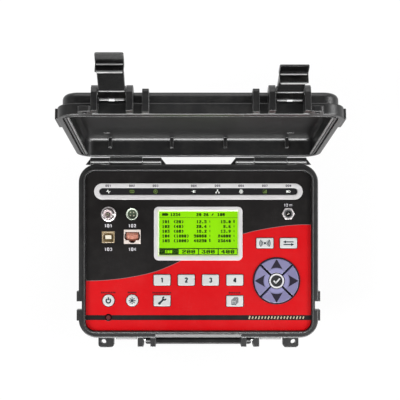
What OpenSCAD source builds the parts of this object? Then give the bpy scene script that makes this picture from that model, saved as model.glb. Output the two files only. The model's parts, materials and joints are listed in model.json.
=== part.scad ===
// Line tester built into a small waterproof case.
// Millimetres. The origin is the middle of the case's underside, +Z up, the handle towards -Y.
// The lid stands open and both latches are swung back, as the tester is used.

/* [Case] */
// Width of the case across its rim
case_w = 230; // [228:1:236]
// Depth of the case across its rim
case_d = 166.7; // [165:0.1:170]
// Height of the base from its underside to the rim
case_h = 88; // [84:1:100]
// Corner radius of the rim
rim_r = 17.5; // [16:0.5:19]
// Height of the thick band under the rim
band_h = 11; // [10.5:0.1:12]
// How far the walls stand in from the band
band_in = 4; // [3.5:0.1:4.5]
// Floor thickness of the base
floor_t = 4; // [3:0.5:5]
// Radius of the edge round the underside
foot_r = 6; // [4:0.5:8]

/* [Lid] */
// Outer height of the lid
lid_h = 20; // [19.5:0.1:21]
// Height of the lid's band
lid_band_h = 9.6; // [9:0.1:10]
// Depth of the hollow in the lid
lid_depth = 17; // [16:0.5:17.5]
// Angle that the lid stands open at
open_angle = 99; // [90:1:104]

/* [Hinges] */
// Distance from the back edge to the hinge axis
hinge_back = 3.35; // [3.35:0.05:3.6]
// Drop of the hinge axis below the rim
hinge_drop = 2.5; // [2.3:0.1:2.7]
// Radius of the hinge knuckles
barrel_r = 3.1; // [2.9:0.05:3.1]
// Radius of the hinge pins
hinge_pin_r = 1.5; // [1.2:0.1:1.6]

/* [Latches] */
// Distance of each latch from the middle
latch_x = 69.65; // [69.5:0.05:69.8]
// Width of a latch
latch_w = 21.9; // [21:0.1:22]
// Angle that the left latch is swung open by
left_swing = 122; // [90:1:130]
// Angle that the right latch is swung open by
right_swing = 104.5; // [90:0.5:130]
// Radius of the latch and handle pins
pin_r = 1.5; // [1.3:0.1:1.6]

/* [Handle] */
// Thickness of the grip from back to front
grip_d = 12; // [10:0.5:13]
// Height of the grip
grip_h = 15; // [12:0.5:17]
// Distance from the pivot down to the top of the grip
handle_reach = 15; // [13:0.5:20]

/* [Panel] */
// Width of the opening that holds the panel
opening_w = 217.6; // [217:0.1:218]
// Depth of the opening that holds the panel
opening_d = 154.3; // [154:0.1:154.6]
// Drop of the panel's face below the rim
panel_drop = 2.5; // [2:0.1:3]
// Thickness of the printed film
film_t = 0.8; // [0.6:0.1:1]
// Thickness of the metal plate under the film
plate_t = 2.5; // [2:0.1:3]
// Height of the key caps above the film
key_rise = 1.6; // [1.2:0.1:2]
// Travel of a key
key_travel = 1; // [0.8:0.1:1]

/* [Hidden] */
$fn = 64;

// Colours as the photograph shows them
CASE_BLACK = "#2b2b2c";
PANEL_RED = "#e31b23";
PALE_GREY = "#dedcdd";
KEY_GREY = "#d9dadd";
LAVENDER = "#9090b5";
METAL = "#b9b9b4";
COPPER = "#c08a62";

// Walls, rim and tongue
eps = 0.01;
band_edge = 1;
wall_w = case_w - 2 * band_in;
wall_d = case_d - 2 * band_in;
wall_r = rim_r - band_in;
opening_r = 9.6;
panel_w = opening_w - 0.6;
panel_d = opening_d - 0.6;
panel_r = opening_r - 0.3;
ledge_w = 2.6;
tongue_t = 1.4;
tongue_h = 1.8;
front_y = -case_d / 2;
back_y = case_d / 2;
front_wall_y = front_y + band_in;

// Heights of the panel's layers
panel_top = case_h - panel_drop;
film_under = panel_top - film_t;
plate_under = film_under - plate_t;
board_top = plate_under - 18;
board_t = 1.6;
flange_t = 0.9;
flange_gap = 0.1;
mat_top = plate_under - flange_gap - flange_t - key_travel - 0.2;
mat_t = 1.5;

// Lid, closed, before it is swung open about the hinge axis
lid_gap = 0.3;
lid_z = case_h + lid_gap;
hinge_y = back_y + hinge_back;
hinge_z = case_h - hinge_drop;
lid_wall = 7.6;
groove_in = 4.5;
groove_w = 2;
groove_d = 4.2;
seal_h = 2.15;
run_clear = 0.05;

// Lugs and ribs on the front, as distances from the middle
ear_outer = [80.9, 85.9];
ear_inner = [53.2, 58.4];
lid_rib = [40.9, 46.1];
rib_outer = [53, 58.4];
rib_inner = [41.2, 46.1];
lug = [81.1, 96.1];
lug_reach = 9.2;
lug_hole = [91, front_y - 3.8];
lug_hole_r = 2.35;
latch_pin_y = front_y - 4.95;
latch_pin_z = lid_z + 16;
latch_reach = 40.3;
hook_reach = 8.2;
tip_r = 1.6;
handle_pin_y = front_y - 3.65;
handle_pin_z = case_h - 17;
handle_arm = [46.5, 51.3];

// Knuckles of one hinge, as distances from the middle
knuckle_in = [35.7, 53.6];
knuckle_lid = [53.9, 85.1];
knuckle_out = [85.4, 103.8];
hinge_foot = [30.7, 108.5];

// Panel features, as places on the panel
status_y = 57.05;
status_size = [200.7, 16];
status_slot = [190.5, 6.3];
led_x = [-86.7, -63.9, -41.2, -4.4, 18.4, 41.1, 63.9, 86.6];
display_bezel_at = [-0.2, 16.6];
display_bezel_size = [85.2, 51.7];
display_at = [0, 17];
display_size = [75.5, 41.9];
display_hole = [77, 43.4];
sensor_at = [-86.6, -64.2];
bayonet_at = [-86.5, 35.2];
round_at = [-63.9, 35.5];
square_at = [-86.8, 13.2];
square_size = [12.04, 11];
network_at = [-63.7, 13.5];
network_size = [16, 13.6];
jack_at = [86.4, 35.7];
soft_x = [-35, -11.65, 11.65, 35];
soft_y = -28.1;
soft_size = [16, 10.4];
tools_at = [-35, -48];
pages_at = [35, -48.3];
waves_at = [63.9, 7.4];
mode_at = [86.6, 7.4];
mode_size = [16.3, 9.8];
power_at = [-86.5, -47.8];
light_at = [-63.7, -47.8];
round_key_r = 5.6;
pad_at = [75.1, -28.8];
pad_hole_r = 21.7;
arrow_r = 21.3;
arrow_in_r = 7.8;
centre_r = 7.4;
arrow_slit = 1.2;
key_clear = 0.3;
key_corner = 1;
screw_at = [
    [-101.5, -70.5], [101.5, -70.5], [-101.5, 70.5], [101.5, 70.5], [-103.2, 0], [103.2, 0]
];
standoff_at = [[-50, 47], [50, 47], [-50, -63], [50, -63]];

// Small shapes

module rounded(w, d, r) {
    square([w - 2 * r, d], center = true);
    square([w, d - 2 * r], center = true);
    for (x = [-1, 1], y = [-1, 1])
        translate([x * (w / 2 - r), y * (d / 2 - r)]) circle(r);
}

module slab(w, d, r, t) {
    linear_extrude(t) rounded(w, d, r);
}

// A rounded block whose lower edge is rounded by e as well
module tub(w, d, h, r, e) {
    translate([0, 0, e]) slab(w, d, r, h - e);
    for (x = [-1, 1], y = [-1, 1])
        translate([x * (w / 2 - r), y * (d / 2 - r), 0])
            rotate_extrude()
                intersection() {
                    union() {
                        square([r - e, 2 * e]);
                        translate([r - e, e]) circle(e);
                    }
                    square([r, e + eps]);
                }
    for (y = [-1, 1])
        translate([-(w / 2 - r), y * (d / 2 - e), e]) rotate([0, 90, 0]) cylinder(r = e, h = w - 2 * r);
    for (x = [-1, 1])
        translate([x * (w / 2 - e), d / 2 - r, e]) rotate([90, 0, 0]) cylinder(r = e, h = d - 2 * r);
    translate([-(w / 2 - r), -(d / 2 - e), 0]) cube([w - 2 * r, d - 2 * e, e + eps]);
    translate([-(w / 2 - e), -(d / 2 - r), 0]) cube([w - 2 * e, d - 2 * r, e + eps]);
}

// A rounded block whose upper and lower edges are both rounded by e
module band(w, d, h, r, e) {
    tub(w, d, h / 2 + eps, r, e);
    translate([0, 0, h]) mirror([0, 0, 1]) tub(w, d, h / 2, r, e);
}

// A slice across X of an outline drawn in Y and Z, from x[0] to x[1]
module across(x) {
    translate([x[0], 0, 0]) rotate([90, 0, 90]) linear_extrude(x[1] - x[0]) children();
}

module both_sides() {
    children();
    mirror([1, 0, 0]) children();
}

module at(place, z) {
    translate([place[0], place[1], z]) children();
}

module swing_lid() {
    translate([0, hinge_y, hinge_z]) rotate([-open_angle, 0, 0]) translate([0, -hinge_y, -hinge_z])
        children();
}

// Base

module front_ribs() {
    for (x = [rib_outer, rib_inner])
        across(x)
            polygon([
                [front_wall_y + 1, case_h - 0.5], [front_y - 8.6, case_h - 0.5],
                [front_y - 9.2, case_h - 3], [front_y - 9.2, handle_pin_z - 4],
                [front_y - 5, handle_pin_z - 10], [front_wall_y + 1, handle_pin_z - 16]
            ]);
}

module padlock_lug(x0, z, t) {
    translate([0, 0, z])
        linear_extrude(t) {
            translate([x0, front_y - lug_reach + 3]) square([lug[1] - x0, lug_reach - 2.5]);
            translate([x0 + 3, front_y - lug_reach]) square([lug[1] - x0 - 6, 4]);
            for (x = [x0 + 3, lug[1] - 3])
                translate([x, front_y - lug_reach + 3]) circle(3);
        }
}

module latch_catch() {
    across([latch_x - 10, latch_x + 10])
        polygon([
            [front_y + 0.5, case_h - 6.3], [front_y - 2.5, case_h - 7.2],
            [front_y - 2.5, case_h - band_h - 0.2], [front_y + 0.5, case_h - band_h - 0.2]
        ]);
}

module base_knuckles() {
    for (x = [knuckle_in, knuckle_out]) {
        translate([x[0], hinge_y, hinge_z]) rotate([0, 90, 0]) cylinder(r = barrel_r, h = x[1] - x[0]);
        across(x)
            translate([hinge_y, hinge_z])
                polygon([[-3.8, -9.5], [-3.8, 2.2], [-2.2, 2.2], [2.9, 0.5], [2.9, -2], [1, -9.5]]);
    }
    translate([0, 0, hinge_z - 9.5])
        linear_extrude(5.5)
            polygon([
                [hinge_foot[0], back_y - 0.5], [hinge_foot[1], back_y - 0.5],
                [knuckle_out[1], hinge_y - 0.2], [knuckle_in[0], hinge_y - 0.2]
            ]);
    for (x = [[knuckle_out[1], hinge_foot[1], -1], [knuckle_in[0], hinge_foot[0], 1]])
        translate([0, 0, hinge_z - 9.5])
            linear_extrude(9.5)
                polygon([
                    [x[1], back_y - 0.5], [x[0], hinge_y + 2.4], [x[0] + x[2], hinge_y + 2.4],
                    [x[0] + x[2], back_y - 0.5]
                ]);
}

module strap_tabs() {
    for (y = [[-48.5, -38.9], [-67, -56.7]])
        translate([case_w / 2 - 0.5, y[0], case_h - band_h]) cube([2.5, y[1] - y[0], band_h - 0.5]);
}

module base_shell() {
    color(CASE_BLACK)
        difference() {
            union() {
                tub(wall_w, wall_d, case_h - 1, wall_r, foot_r);
                translate([0, 0, case_h - band_h]) band(case_w, case_d, band_h, rim_r, band_edge);
                translate([0, 0, case_h - 1])
                    slab(opening_w + 2 * tongue_t, opening_d + 2 * tongue_t,
                        opening_r + tongue_t, tongue_h + 1);
                both_sides() {
                    front_ribs();
                    padlock_lug(lug[0], case_h - 8, 7.5);
                    latch_catch();
                    base_knuckles();
                    strap_tabs();
                }
            }
            difference() {
                translate([0, 0, floor_t])
                    tub(opening_w - 2 * ledge_w, opening_d - 2 * ledge_w, case_h, opening_r - ledge_w, 3);
                for (p = screw_at) at(p, plate_under - 12) cylinder(r = 4.5, h = 20);
            }
            translate([0, 0, plate_under]) slab(opening_w, opening_d, opening_r, case_h);
            for (p = screw_at) at(p, plate_under - 10) cylinder(r = 1.5, h = 12, $fn = 32);
            both_sides() {
                at(lug_hole, case_h - 20) cylinder(r = lug_hole_r, h = 30);
                translate([35, hinge_y, hinge_z]) rotate([0, 90, 0])
                    cylinder(r = hinge_pin_r + run_clear, h = 70);
                translate([40, handle_pin_y, handle_pin_z]) rotate([0, 90, 0])
                    cylinder(r = pin_r + run_clear, h = 20);
                translate([case_w / 2 - 3, -56.7, case_h - band_h - 1]) cube([6, 8.2, band_h + 2]);
            }
            across([-rib_inner[0] - eps, rib_inner[0] + eps])
                polygon([
                    [front_y - 1, case_h - 2.55], [front_y + 3.05, case_h + eps], [front_y - 1, case_h + 1]
                ]);
        }
}

module hinge_pins() {
    color(METAL)
        both_sides()
            translate([knuckle_in[0] + 1, hinge_y, hinge_z]) rotate([0, 90, 0])
                cylinder(r = hinge_pin_r, h = knuckle_out[1] - knuckle_in[0] - 2);
}

// Lid

module latch_ears() {
    for (x = [ear_outer, ear_inner])
        across(x)
            translate([front_y, lid_z])
                polygon([
                    [5, 1], [-8.95, 1], [-8.95, 16], [-7.8, 20], [-4.5, 22.5],
                    [3.5, 22.5], [9.5, 19.5], [5, 15]
                ]);
    across(lid_rib)
        translate([front_y, lid_z])
            polygon([[5, 1], [-4.2, 1], [-4.2, 18], [-2.5, 20.3], [8.5, 20.3], [5, 15]]);
}

module lid_knuckle() {
    translate([knuckle_lid[0], hinge_y, hinge_z]) rotate([0, 90, 0])
        cylinder(r = barrel_r, h = knuckle_lid[1] - knuckle_lid[0]);
    across(knuckle_lid)
        translate([hinge_y, hinge_z])
            polygon([[-3.05, 0], [-3.05, 3], [-3.8, 3], [-3.8, 11.6], [-1, 11.6], [3, 6.5], [3, 0]]);
}

module lid_hooks() {
    for (x = [25.5, 84])
        translate([x - 1.5, back_y - lid_wall - 3.2, lid_z + 7.5]) cube([3, 4, lid_depth - 6.5]);
}

module lid_shell() {
    color(CASE_BLACK)
        swing_lid()
            difference() {
                union() {
                    translate([0, 0, lid_z]) band(case_w, case_d, lid_band_h, rim_r, band_edge);
                    translate([0, 0, lid_z + lid_h]) mirror([0, 0, 1])
                        tub(wall_w, wall_d, lid_h - 1, wall_r, 4.5);
                    both_sides() {
                        latch_ears();
                        padlock_lug(ear_outer[1] - 0.5, lid_z + 0.3, 4.5);
                        lid_knuckle();
                        translate([case_w / 2 - 0.5, -67, lid_z + 0.3]) cube([2.5, 28.1, 8.7]);
                    }
                }
                difference() {
                    translate([0, 0, lid_z + lid_depth]) mirror([0, 0, 1])
                        tub(case_w - 2 * lid_wall, case_d - 2 * lid_wall, lid_depth + 1, 8.5, 4);
                    both_sides() lid_hooks();
                }
                translate([0, 0, lid_z - 1])
                    difference() {
                        slab(case_w - 2 * groove_in, case_d - 2 * groove_in, opening_r + 1.7, groove_d + 1);
                        translate([0, 0, -1])
                            slab(case_w - 2 * (groove_in + groove_w), case_d - 2 * (groove_in + groove_w),
                                opening_r - 0.3, groove_d + 3);
                    }
                both_sides() {
                    at(lug_hole, lid_z - 5) cylinder(r = lug_hole_r, h = 14);
                    translate([50, hinge_y, hinge_z]) rotate([0, 90, 0])
                        cylinder(r = hinge_pin_r + run_clear, h = 40);
                    translate([52, latch_pin_y, latch_pin_z]) rotate([0, 90, 0])
                        cylinder(r = pin_r + run_clear, h = 35);
                    translate([82.5, 51.7, lid_z + lid_depth - 1]) cube([6, 4, 1.8]);
                }
            }
}

module lid_gasket() {
    color("#161616")
        swing_lid()
            translate([0, 0, lid_z + groove_d - seal_h])
                difference() {
                    slab(case_w - 2 * groove_in - 0.1, case_d - 2 * groove_in - 0.1,
                        opening_r + 1.65, seal_h);
                    translate([0, 0, -1])
                        slab(case_w - 2 * (groove_in + groove_w) + 0.1,
                            case_d - 2 * (groove_in + groove_w) + 0.1, opening_r - 0.25, seal_h + 2);
                }
}

// Latches, drawn shut with the pin at the origin, hanging along -Z with the outside towards -Y

module latch_outline() {
    polygon([
        [1.6, 6.6], [-1.5, 6.6], [-3.6, 3], [-3.9, -18], [-3.9, -31], [-3.2, -35.8],
        [-1.2, -latch_reach], [0, -latch_reach], [0.3, -35.2], [0.5, -31], [1.6, -30.5],
        [hook_reach, -30.2], [hook_reach, -28.9], [1.2, -28], [0.9, -18.9], [0.9, -2.7],
        [5.3, 0.8], [5.3, 3.2]
    ]);
}

module latch(swing) {
    color(CASE_BLACK)
        swing_lid()
            translate([0, latch_pin_y, latch_pin_z]) rotate([-swing, 0, 0])
                difference() {
                    union() {
                        across([-latch_w / 2, latch_w / 2]) latch_outline();
                        translate([-4, -1, 6]) cube([8, 2, 1.4]);
                    }
                    translate([-latch_w, 0, 0]) rotate([0, 90, 0])
                        cylinder(r = pin_r + run_clear, h = 2 * latch_w);
                    both_sides() {
                        translate([latch_w / 2 - 0.6, -10, -26.3]) cube([5, 20, 22.1]);
                        translate([latch_w / 2 - tip_r, 10, tip_r - latch_reach]) rotate([90, 0, 0])
                            linear_extrude(20)
                                difference() {
                                    translate([0, -tip_r - 1]) square(tip_r + 1);
                                    circle(tip_r);
                                }
                    }
                }
}

module latch_left() { translate([-latch_x, 0, 0]) latch(left_swing); }

module latch_right() { translate([latch_x, 0, 0]) latch(right_swing); }

module latch_pins() {
    color(METAL)
        swing_lid()
            both_sides()
                translate([ear_inner[0] + 0.6, latch_pin_y, latch_pin_z]) rotate([0, 90, 0])
                    cylinder(r = pin_r, h = ear_outer[1] - ear_inner[0] - 1.2);
}

// Handle, hanging

module handle() {
    arm_w = handle_arm[1] - handle_arm[0];
    grip_y = handle_pin_y - 7.3;
    grip_z = handle_pin_z - handle_reach - grip_h;
    color(CASE_BLACK)
        difference() {
            union() {
                both_sides()
                    across(handle_arm) {
                        translate([handle_pin_y, handle_pin_z]) circle(4.2);
                        polygon([
                            [handle_pin_y - 4.2, handle_pin_z], [handle_pin_y + 4.2, handle_pin_z],
                            [grip_y + grip_d - 1, grip_z + grip_h - 2], [grip_y + grip_d - 1, grip_z + 4],
                            [grip_y + 3, grip_z + 1], [grip_y + 1, grip_z + grip_h - 2]
                        ]);
                    }
                across([-handle_arm[1], handle_arm[1]])
                    translate([grip_y, grip_z]) {
                        translate([3, 0]) square([grip_d - 6, grip_h - 2]);
                        translate([0, 3]) square([grip_d, grip_h - 8]);
                        for (p = [[3, 3], [grip_d - 3, 3], [grip_d - 3, grip_h - 5]])
                            translate(p) circle(3);
                        translate([0, 3]) square([6, grip_h - 4.5]);
                        translate([1.5, 3]) square([3, grip_h - 3]);
                        for (x = [1.5, 4.5]) translate([x, grip_h - 1.5]) circle(1.5);
                    }
            }
            translate([-60, handle_pin_y, handle_pin_z]) rotate([0, 90, 0])
                cylinder(r = pin_r + run_clear, h = 120);
            for (x = [-30, -15, 0, 15, 30])
                translate([x - 4, grip_y + grip_d - 1.2, grip_z + 3]) cube([8, 3, grip_h - 8]);
        }
}

module handle_pins() {
    color(METAL)
        both_sides()
            translate([rib_inner[0] + 0.6, handle_pin_y, handle_pin_z]) rotate([0, 90, 0])
                cylinder(r = pin_r, h = rib_outer[1] - rib_inner[0] - 1.2);
}

// Panel

module key_hole(size) {
    rounded(size[0] + 2 * key_clear, size[1] + 2 * key_clear, key_corner + key_clear);
}

// Every opening that goes through both the plate and the film
module panel_openings() {
    translate([0, status_y]) rounded(status_slot[0], status_slot[1], status_slot[1] / 2 - eps);
    translate(display_at) rounded(display_hole[0], display_hole[1], 1);
    translate(sensor_at) circle(2.1);
    translate(bayonet_at) circle(5.8);
    translate(round_at) circle(5);
    translate(square_at) square([square_size[0] + 0.4, square_size[1] + 0.4], center = true);
    translate(network_at) square([network_size[0] + 0.4, network_size[1] + 0.4], center = true);
    translate(jack_at) circle(4);
    for (x = soft_x) translate([x, soft_y]) key_hole(soft_size);
    for (p = [tools_at, pages_at]) translate(p) key_hole(soft_size);
    for (p = [waves_at, mode_at]) translate(p) key_hole(mode_size);
    for (p = [power_at, light_at]) translate(p) circle(round_key_r + key_clear);
    translate(pad_at) circle(pad_hole_r);
}

module panel_plate() {
    color(METAL)
        translate([0, 0, plate_under])
            difference() {
                slab(panel_w, panel_d, panel_r, plate_t);
                translate([0, 0, -1]) linear_extrude(plate_t + 2) panel_openings();
                for (p = screw_at) at(p, -1) cylinder(r = 1.7, h = plate_t + 2, $fn = 32);
                for (p = screw_at) at(p, plate_t - 1.6) cylinder(r = 3, h = 3, $fn = 32);
            }
}

module panel_film() {
    color(PANEL_RED)
        translate([0, 0, film_under])
            difference() {
                slab(panel_w - 0.4, panel_d - 0.4, panel_r - 0.2, film_t);
                translate([0, 0, -1]) linear_extrude(film_t + 2) panel_openings();
            }
}

module panel_screws() {
    color(METAL)
        for (p = screw_at) {
            at(p, film_under - 1.55) cylinder(r = 2.85, h = 1.5, $fn = 32);
            at(p, plate_under - 9) cylinder(r = 1.45, h = plate_t + 8, $fn = 32);
        }
}

module status_bezel() {
    color(PALE_GREY)
        at([0, status_y], panel_top)
            difference() {
                slab(status_size[0], status_size[1], status_size[1] / 2 - eps, 1);
                translate([0, 0, -1]) slab(status_slot[0], status_slot[1], status_slot[1] / 2 - eps, 3);
            }
}

module status_window() {
    color("#1c1c1e")
        at([0, status_y], panel_top - 1)
            slab(status_slot[0] - 0.3, status_slot[1] - 0.3, status_slot[1] / 2 - 0.16, 1);
}

module status_leds() {
    color("#e8f0d0")
        for (x = led_x)
            at([x, status_y], plate_under - 0.5) translate([-1.6, -1, 0]) cube([3.2, 2, 1.6]);
}

module display_bezel() {
    color(PALE_GREY)
        difference() {
            at(display_bezel_at, panel_top) slab(display_bezel_size[0], display_bezel_size[1], 4.5, 1.2);
            at(display_at, panel_top - 1) slab(display_size[0], display_size[1], 1, 4);
        }
}

module display_window() {
    color("#9beb00")
        at(display_at, panel_top - 1.5) slab(display_hole[0] - 0.4, display_hole[1] - 0.4, 1, 1.5);
}

module display_module() {
    color("#3a4a3a")
        at(display_at, plate_under - 5) {
            slab(82, 49, 1, 4.95);
            slab(display_hole[0] - 0.6, display_hole[1] - 0.6, 1, 5 + plate_t + film_t - 1.6);
        }
}

module sensor_lens() {
    color("#401014")
        at(sensor_at, plate_under) {
            cylinder(r = 1.9, h = plate_t + film_t + 0.2);
            translate([0, 0, plate_t + film_t + eps]) cylinder(r = 3.6, h = 0.6);
        }
}

// Keys

module key_cap(place, size, rise) {
    low = plate_under - flange_gap - flange_t;
    at(place, low) {
        slab(size[0], size[1], key_corner, panel_top + rise - low);
        slab(size[0] + 2, size[1] + 2, key_corner, flange_t);
    }
}

module round_cap(place, r, rise, flange) {
    low = plate_under - flange_gap - flange_t;
    at(place, low) {
        cylinder(r = r, h = panel_top + rise - low);
        cylinder(r = r + flange, h = flange_t);
    }
}

// One quarter of the ring between two radii, pointing along +Y, with a slit to its neighbours
module quarter(r_in, r_out) {
    slit = arrow_slit / sqrt(2);
    intersection() {
        difference() {
            circle(r_out);
            circle(r_in);
        }
        polygon([[0, slit], [40, 40 + slit], [-40, 40 + slit]]);
    }
}

module arrow_cap(turn) {
    low = plate_under - flange_gap - flange_t;
    color(LAVENDER)
        at(pad_at, low)
            rotate([0, 0, turn]) {
                linear_extrude(panel_top + 1.8 - low) quarter(arrow_in_r, arrow_r);
                linear_extrude(flange_t) quarter(arrow_in_r, arrow_r + 1.6);
            }
}

module soft_key(n) { color(KEY_GREY) key_cap([soft_x[n], soft_y], soft_size, key_rise); }

module tools_key() { color(KEY_GREY) key_cap(tools_at, soft_size, key_rise); }

module pages_key() { color(KEY_GREY) key_cap(pages_at, soft_size, key_rise); }

module waves_key() { color(KEY_GREY) key_cap(waves_at, mode_size, key_rise); }

module mode_key() { color(KEY_GREY) key_cap(mode_at, mode_size, key_rise); }

module power_key() { color(KEY_GREY) round_cap(power_at, round_key_r, key_rise, 1); }

module light_key() { color(KEY_GREY) round_cap(light_at, round_key_r, key_rise, 1); }

module centre_key() { color("#1d1d1f") round_cap(pad_at, centre_r, 2.4, 0); }

module arrow_key_ring() {
    color("#26203a")
        at(pad_at, panel_top)
            difference() {
                cylinder(r = pad_hole_r + 1, h = 1);
                translate([0, 0, -1]) cylinder(r = pad_hole_r, h = 3);
            }
}

module keypad_mat() {
    color("#55585c")
        translate([0, 0, mat_top - mat_t])
            linear_extrude(mat_t) {
                translate([-97, -57]) square([198, 47]);
                translate([52, -11]) square([46, 25.5]);
            }
}

// Electronics and battery

module main_board() {
    color("#1f6b3a")
        translate([0, 0, board_top - board_t])
            difference() {
                slab(196, 128, 2, board_t);
                for (p = standoff_at) at(p, -1) cylinder(r = 1.6, h = board_t + 2, $fn = 32);
            }
}

module board_parts() {
    under = board_top - board_t;
    color("#30302f") {
        for (x = [-40, 0, 40]) at([x, -15], under - 2) translate([-9, -9, 0]) cube([18, 18, 2]);
        for (x = [-70, 70]) at([x, 25], under - 12) translate([-9, -7, 0]) cube([18, 14, 12]);
        for (x = [-30, -18, 18, 30]) at([x, 40], under - 10) cylinder(r = 4, h = 10, $fn = 32);
    }
}

module board_standoffs() {
    color(METAL)
        for (p = standoff_at)
            at(p, board_top)
                difference() {
                    cylinder(r = 3, h = plate_under - board_top);
                    translate([0, 0, -1]) cylinder(r = 1.55, h = 9, $fn = 32);
                }
}

module board_screws() {
    color(METAL)
        for (p = standoff_at) {
            at(p, board_top - board_t - 1.8) cylinder(r = 2.8, h = 1.8, $fn = 32);
            at(p, board_top - board_t - 1) cylinder(r = 1.5, h = 8, $fn = 32);
        }
}

module battery_tray() {
    color("#4a4a4c")
        translate([0, 0, floor_t])
            difference() {
                slab(156, 86, 3, 20);
                translate([0, 0, 2]) slab(152, 82, 1.5, 20);
            }
}

module battery_pack() {
    color("#2f5f9a")
        translate([0, 0, floor_t + 2])
            slab(151.4, 81.4, 6, 38);
}

// Sockets

module bayonet_shell() {
    color(METAL)
        at(bayonet_at, panel_top)
            difference() {
                union() {
                    cylinder(r = 7.3, h = 1.8);
                    cylinder(r = 4.85, h = 11.5);
                    translate([0, 0, board_top - panel_top])
                        cylinder(r = 5.6, h = panel_top - board_top + 1);
                    translate([-5.7, 0, 6.6]) rotate([0, 90, 0]) cylinder(r = 1, h = 11.4, $fn = 32);
                }
                translate([0, 0, 1]) cylinder(r = 4.05, h = 12);
            }
}

module bayonet_insulator() {
    color("#eeeee8")
        at(bayonet_at, panel_top + 1)
            difference() {
                cylinder(r = 3.9, h = 6.5);
                translate([0, 0, -1]) cylinder(r = 1.35, h = 9, $fn = 32);
                translate([0, 0, 3]) cylinder(r = 2.6, h = 5);
            }
}

module bayonet_contact() {
    color("#c9a24a")
        at(bayonet_at, panel_top + 1)
            difference() {
                cylinder(r = 1.25, h = 7.5, $fn = 32);
                translate([0, 0, 3]) cylinder(r = 0.6, h = 5, $fn = 32);
            }
}

module round_socket_shell() {
    color(METAL)
        at(round_at, panel_top)
            difference() {
                union() {
                    cylinder(r = 5.75, h = 1.6);
                    translate([0, 0, -14]) cylinder(r = 4.9, h = 15);
                }
                translate([0, 0, -6]) cylinder(r = 4.3, h = 9);
            }
}

module round_socket_insert() {
    color("#26382c")
        at(round_at, panel_top - 6) cylinder(r = 4.2, h = 3.4);
}

module round_socket_pins() {
    color("#c9a24a")
        for (a = [45, 135, 225, 315])
            at(round_at, panel_top - 2.6) rotate([0, 0, a]) translate([2.2, 0, 0])
                cylinder(r = 0.5, h = 3, $fn = 32);
}

// Outline of the square plug, with its two upper corners cut
module square_outline(w, d) {
    polygon([
        [-w / 2, -d / 2], [w / 2, -d / 2], [w / 2, d / 2 - 2.2],
        [w / 2 - 2.2, d / 2], [-w / 2 + 2.2, d / 2], [-w / 2, d / 2 - 2.2]
    ]);
}

module square_socket_shell() {
    color("#a9925e")
        at(square_at, board_top)
            difference() {
                linear_extrude(panel_top + 0.2 - board_top)
                    square([square_size[0], square_size[1]], center = true);
                translate([0, 0, panel_top - board_top - 12])
                    linear_extrude(14) square_outline(square_size[0] - 2.2, square_size[1] - 2.2);
            }
}

module square_socket_tongue() {
    color("#eeeeea")
        at(square_at, panel_top - 12) translate([-2.9, -1.9, 0]) cube([5.8, 3.6, 11]);
}

module network_socket() {
    color("#e9e6df")
        at(network_at, board_top)
            difference() {
                translate([-network_size[0] / 2, -network_size[1] / 2, 0])
                    cube([network_size[0], network_size[1], panel_top + 0.2 - board_top]);
                translate([0, 0, panel_top - board_top - 13])
                    linear_extrude(15) {
                        translate([-6.7, -3.4]) square([13.4, 8]);
                        translate([-3.3, -4.9]) square([6.6, 3]);
                        translate([-2.2, -6]) square([4.4, 3]);
                    }
            }
}

module network_contacts() {
    color(COPPER)
        for (i = [0:7])
            at(network_at, panel_top - 13) translate([(i - 3.5) * 1.02 - 0.25, 2.2, 0])
                cube([0.5, 1.6, 11]);
}

module power_jack_nut() {
    color(METAL)
        at(jack_at, panel_top)
            difference() {
                rotate([0, 0, 30]) cylinder(r = 10.7 / sqrt(3), h = 2.2, $fn = 6);
                translate([0, 0, -1]) cylinder(r = 3.95, h = 5);
            }
}

module power_jack_sleeve() {
    color("#3c3c3e")
        at(jack_at, panel_top)
            difference() {
                union() {
                    translate([0, 0, -10]) cylinder(r = 3.85, h = 12.9);
                    translate([0, 0, -14]) cylinder(r = 5.2, h = 14 - film_t - plate_t - 0.05);
                }
                translate([0, 0, -8]) cylinder(r = 2.8, h = 14);
            }
}

module power_jack_pin() {
    color(METAL)
        at(jack_at, panel_top - 8) cylinder(r = 1, h = 9.5, $fn = 32);
}

base_shell();
lid_shell();
lid_gasket();
hinge_pins();
latch_left();
latch_right();
latch_pins();
handle();
handle_pins();
panel_plate();
panel_film();
panel_screws();
status_bezel();
status_window();
status_leds();
display_bezel();
display_window();
display_module();
sensor_lens();
arrow_key_ring();
keypad_mat();
main_board();
board_parts();
board_standoffs();
board_screws();
battery_pack();
battery_tray();
bayonet_shell();
bayonet_insulator();
bayonet_contact();
round_socket_shell();
round_socket_insert();
round_socket_pins();
square_socket_shell();
square_socket_tongue();
network_socket();
network_contacts();
power_jack_nut();
power_jack_sleeve();
power_jack_pin();
soft_key(0);  // soft_key_1
soft_key(1);  // soft_key_2
soft_key(2);  // soft_key_3
soft_key(3);  // soft_key_4
tools_key();
pages_key();
waves_key();
mode_key();
power_key();
light_key();
arrow_cap(0);  // up_key
arrow_cap(90);  // left_key
arrow_cap(180);  // down_key
arrow_cap(270);  // right_key
centre_key();
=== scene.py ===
import json
import math

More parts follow.
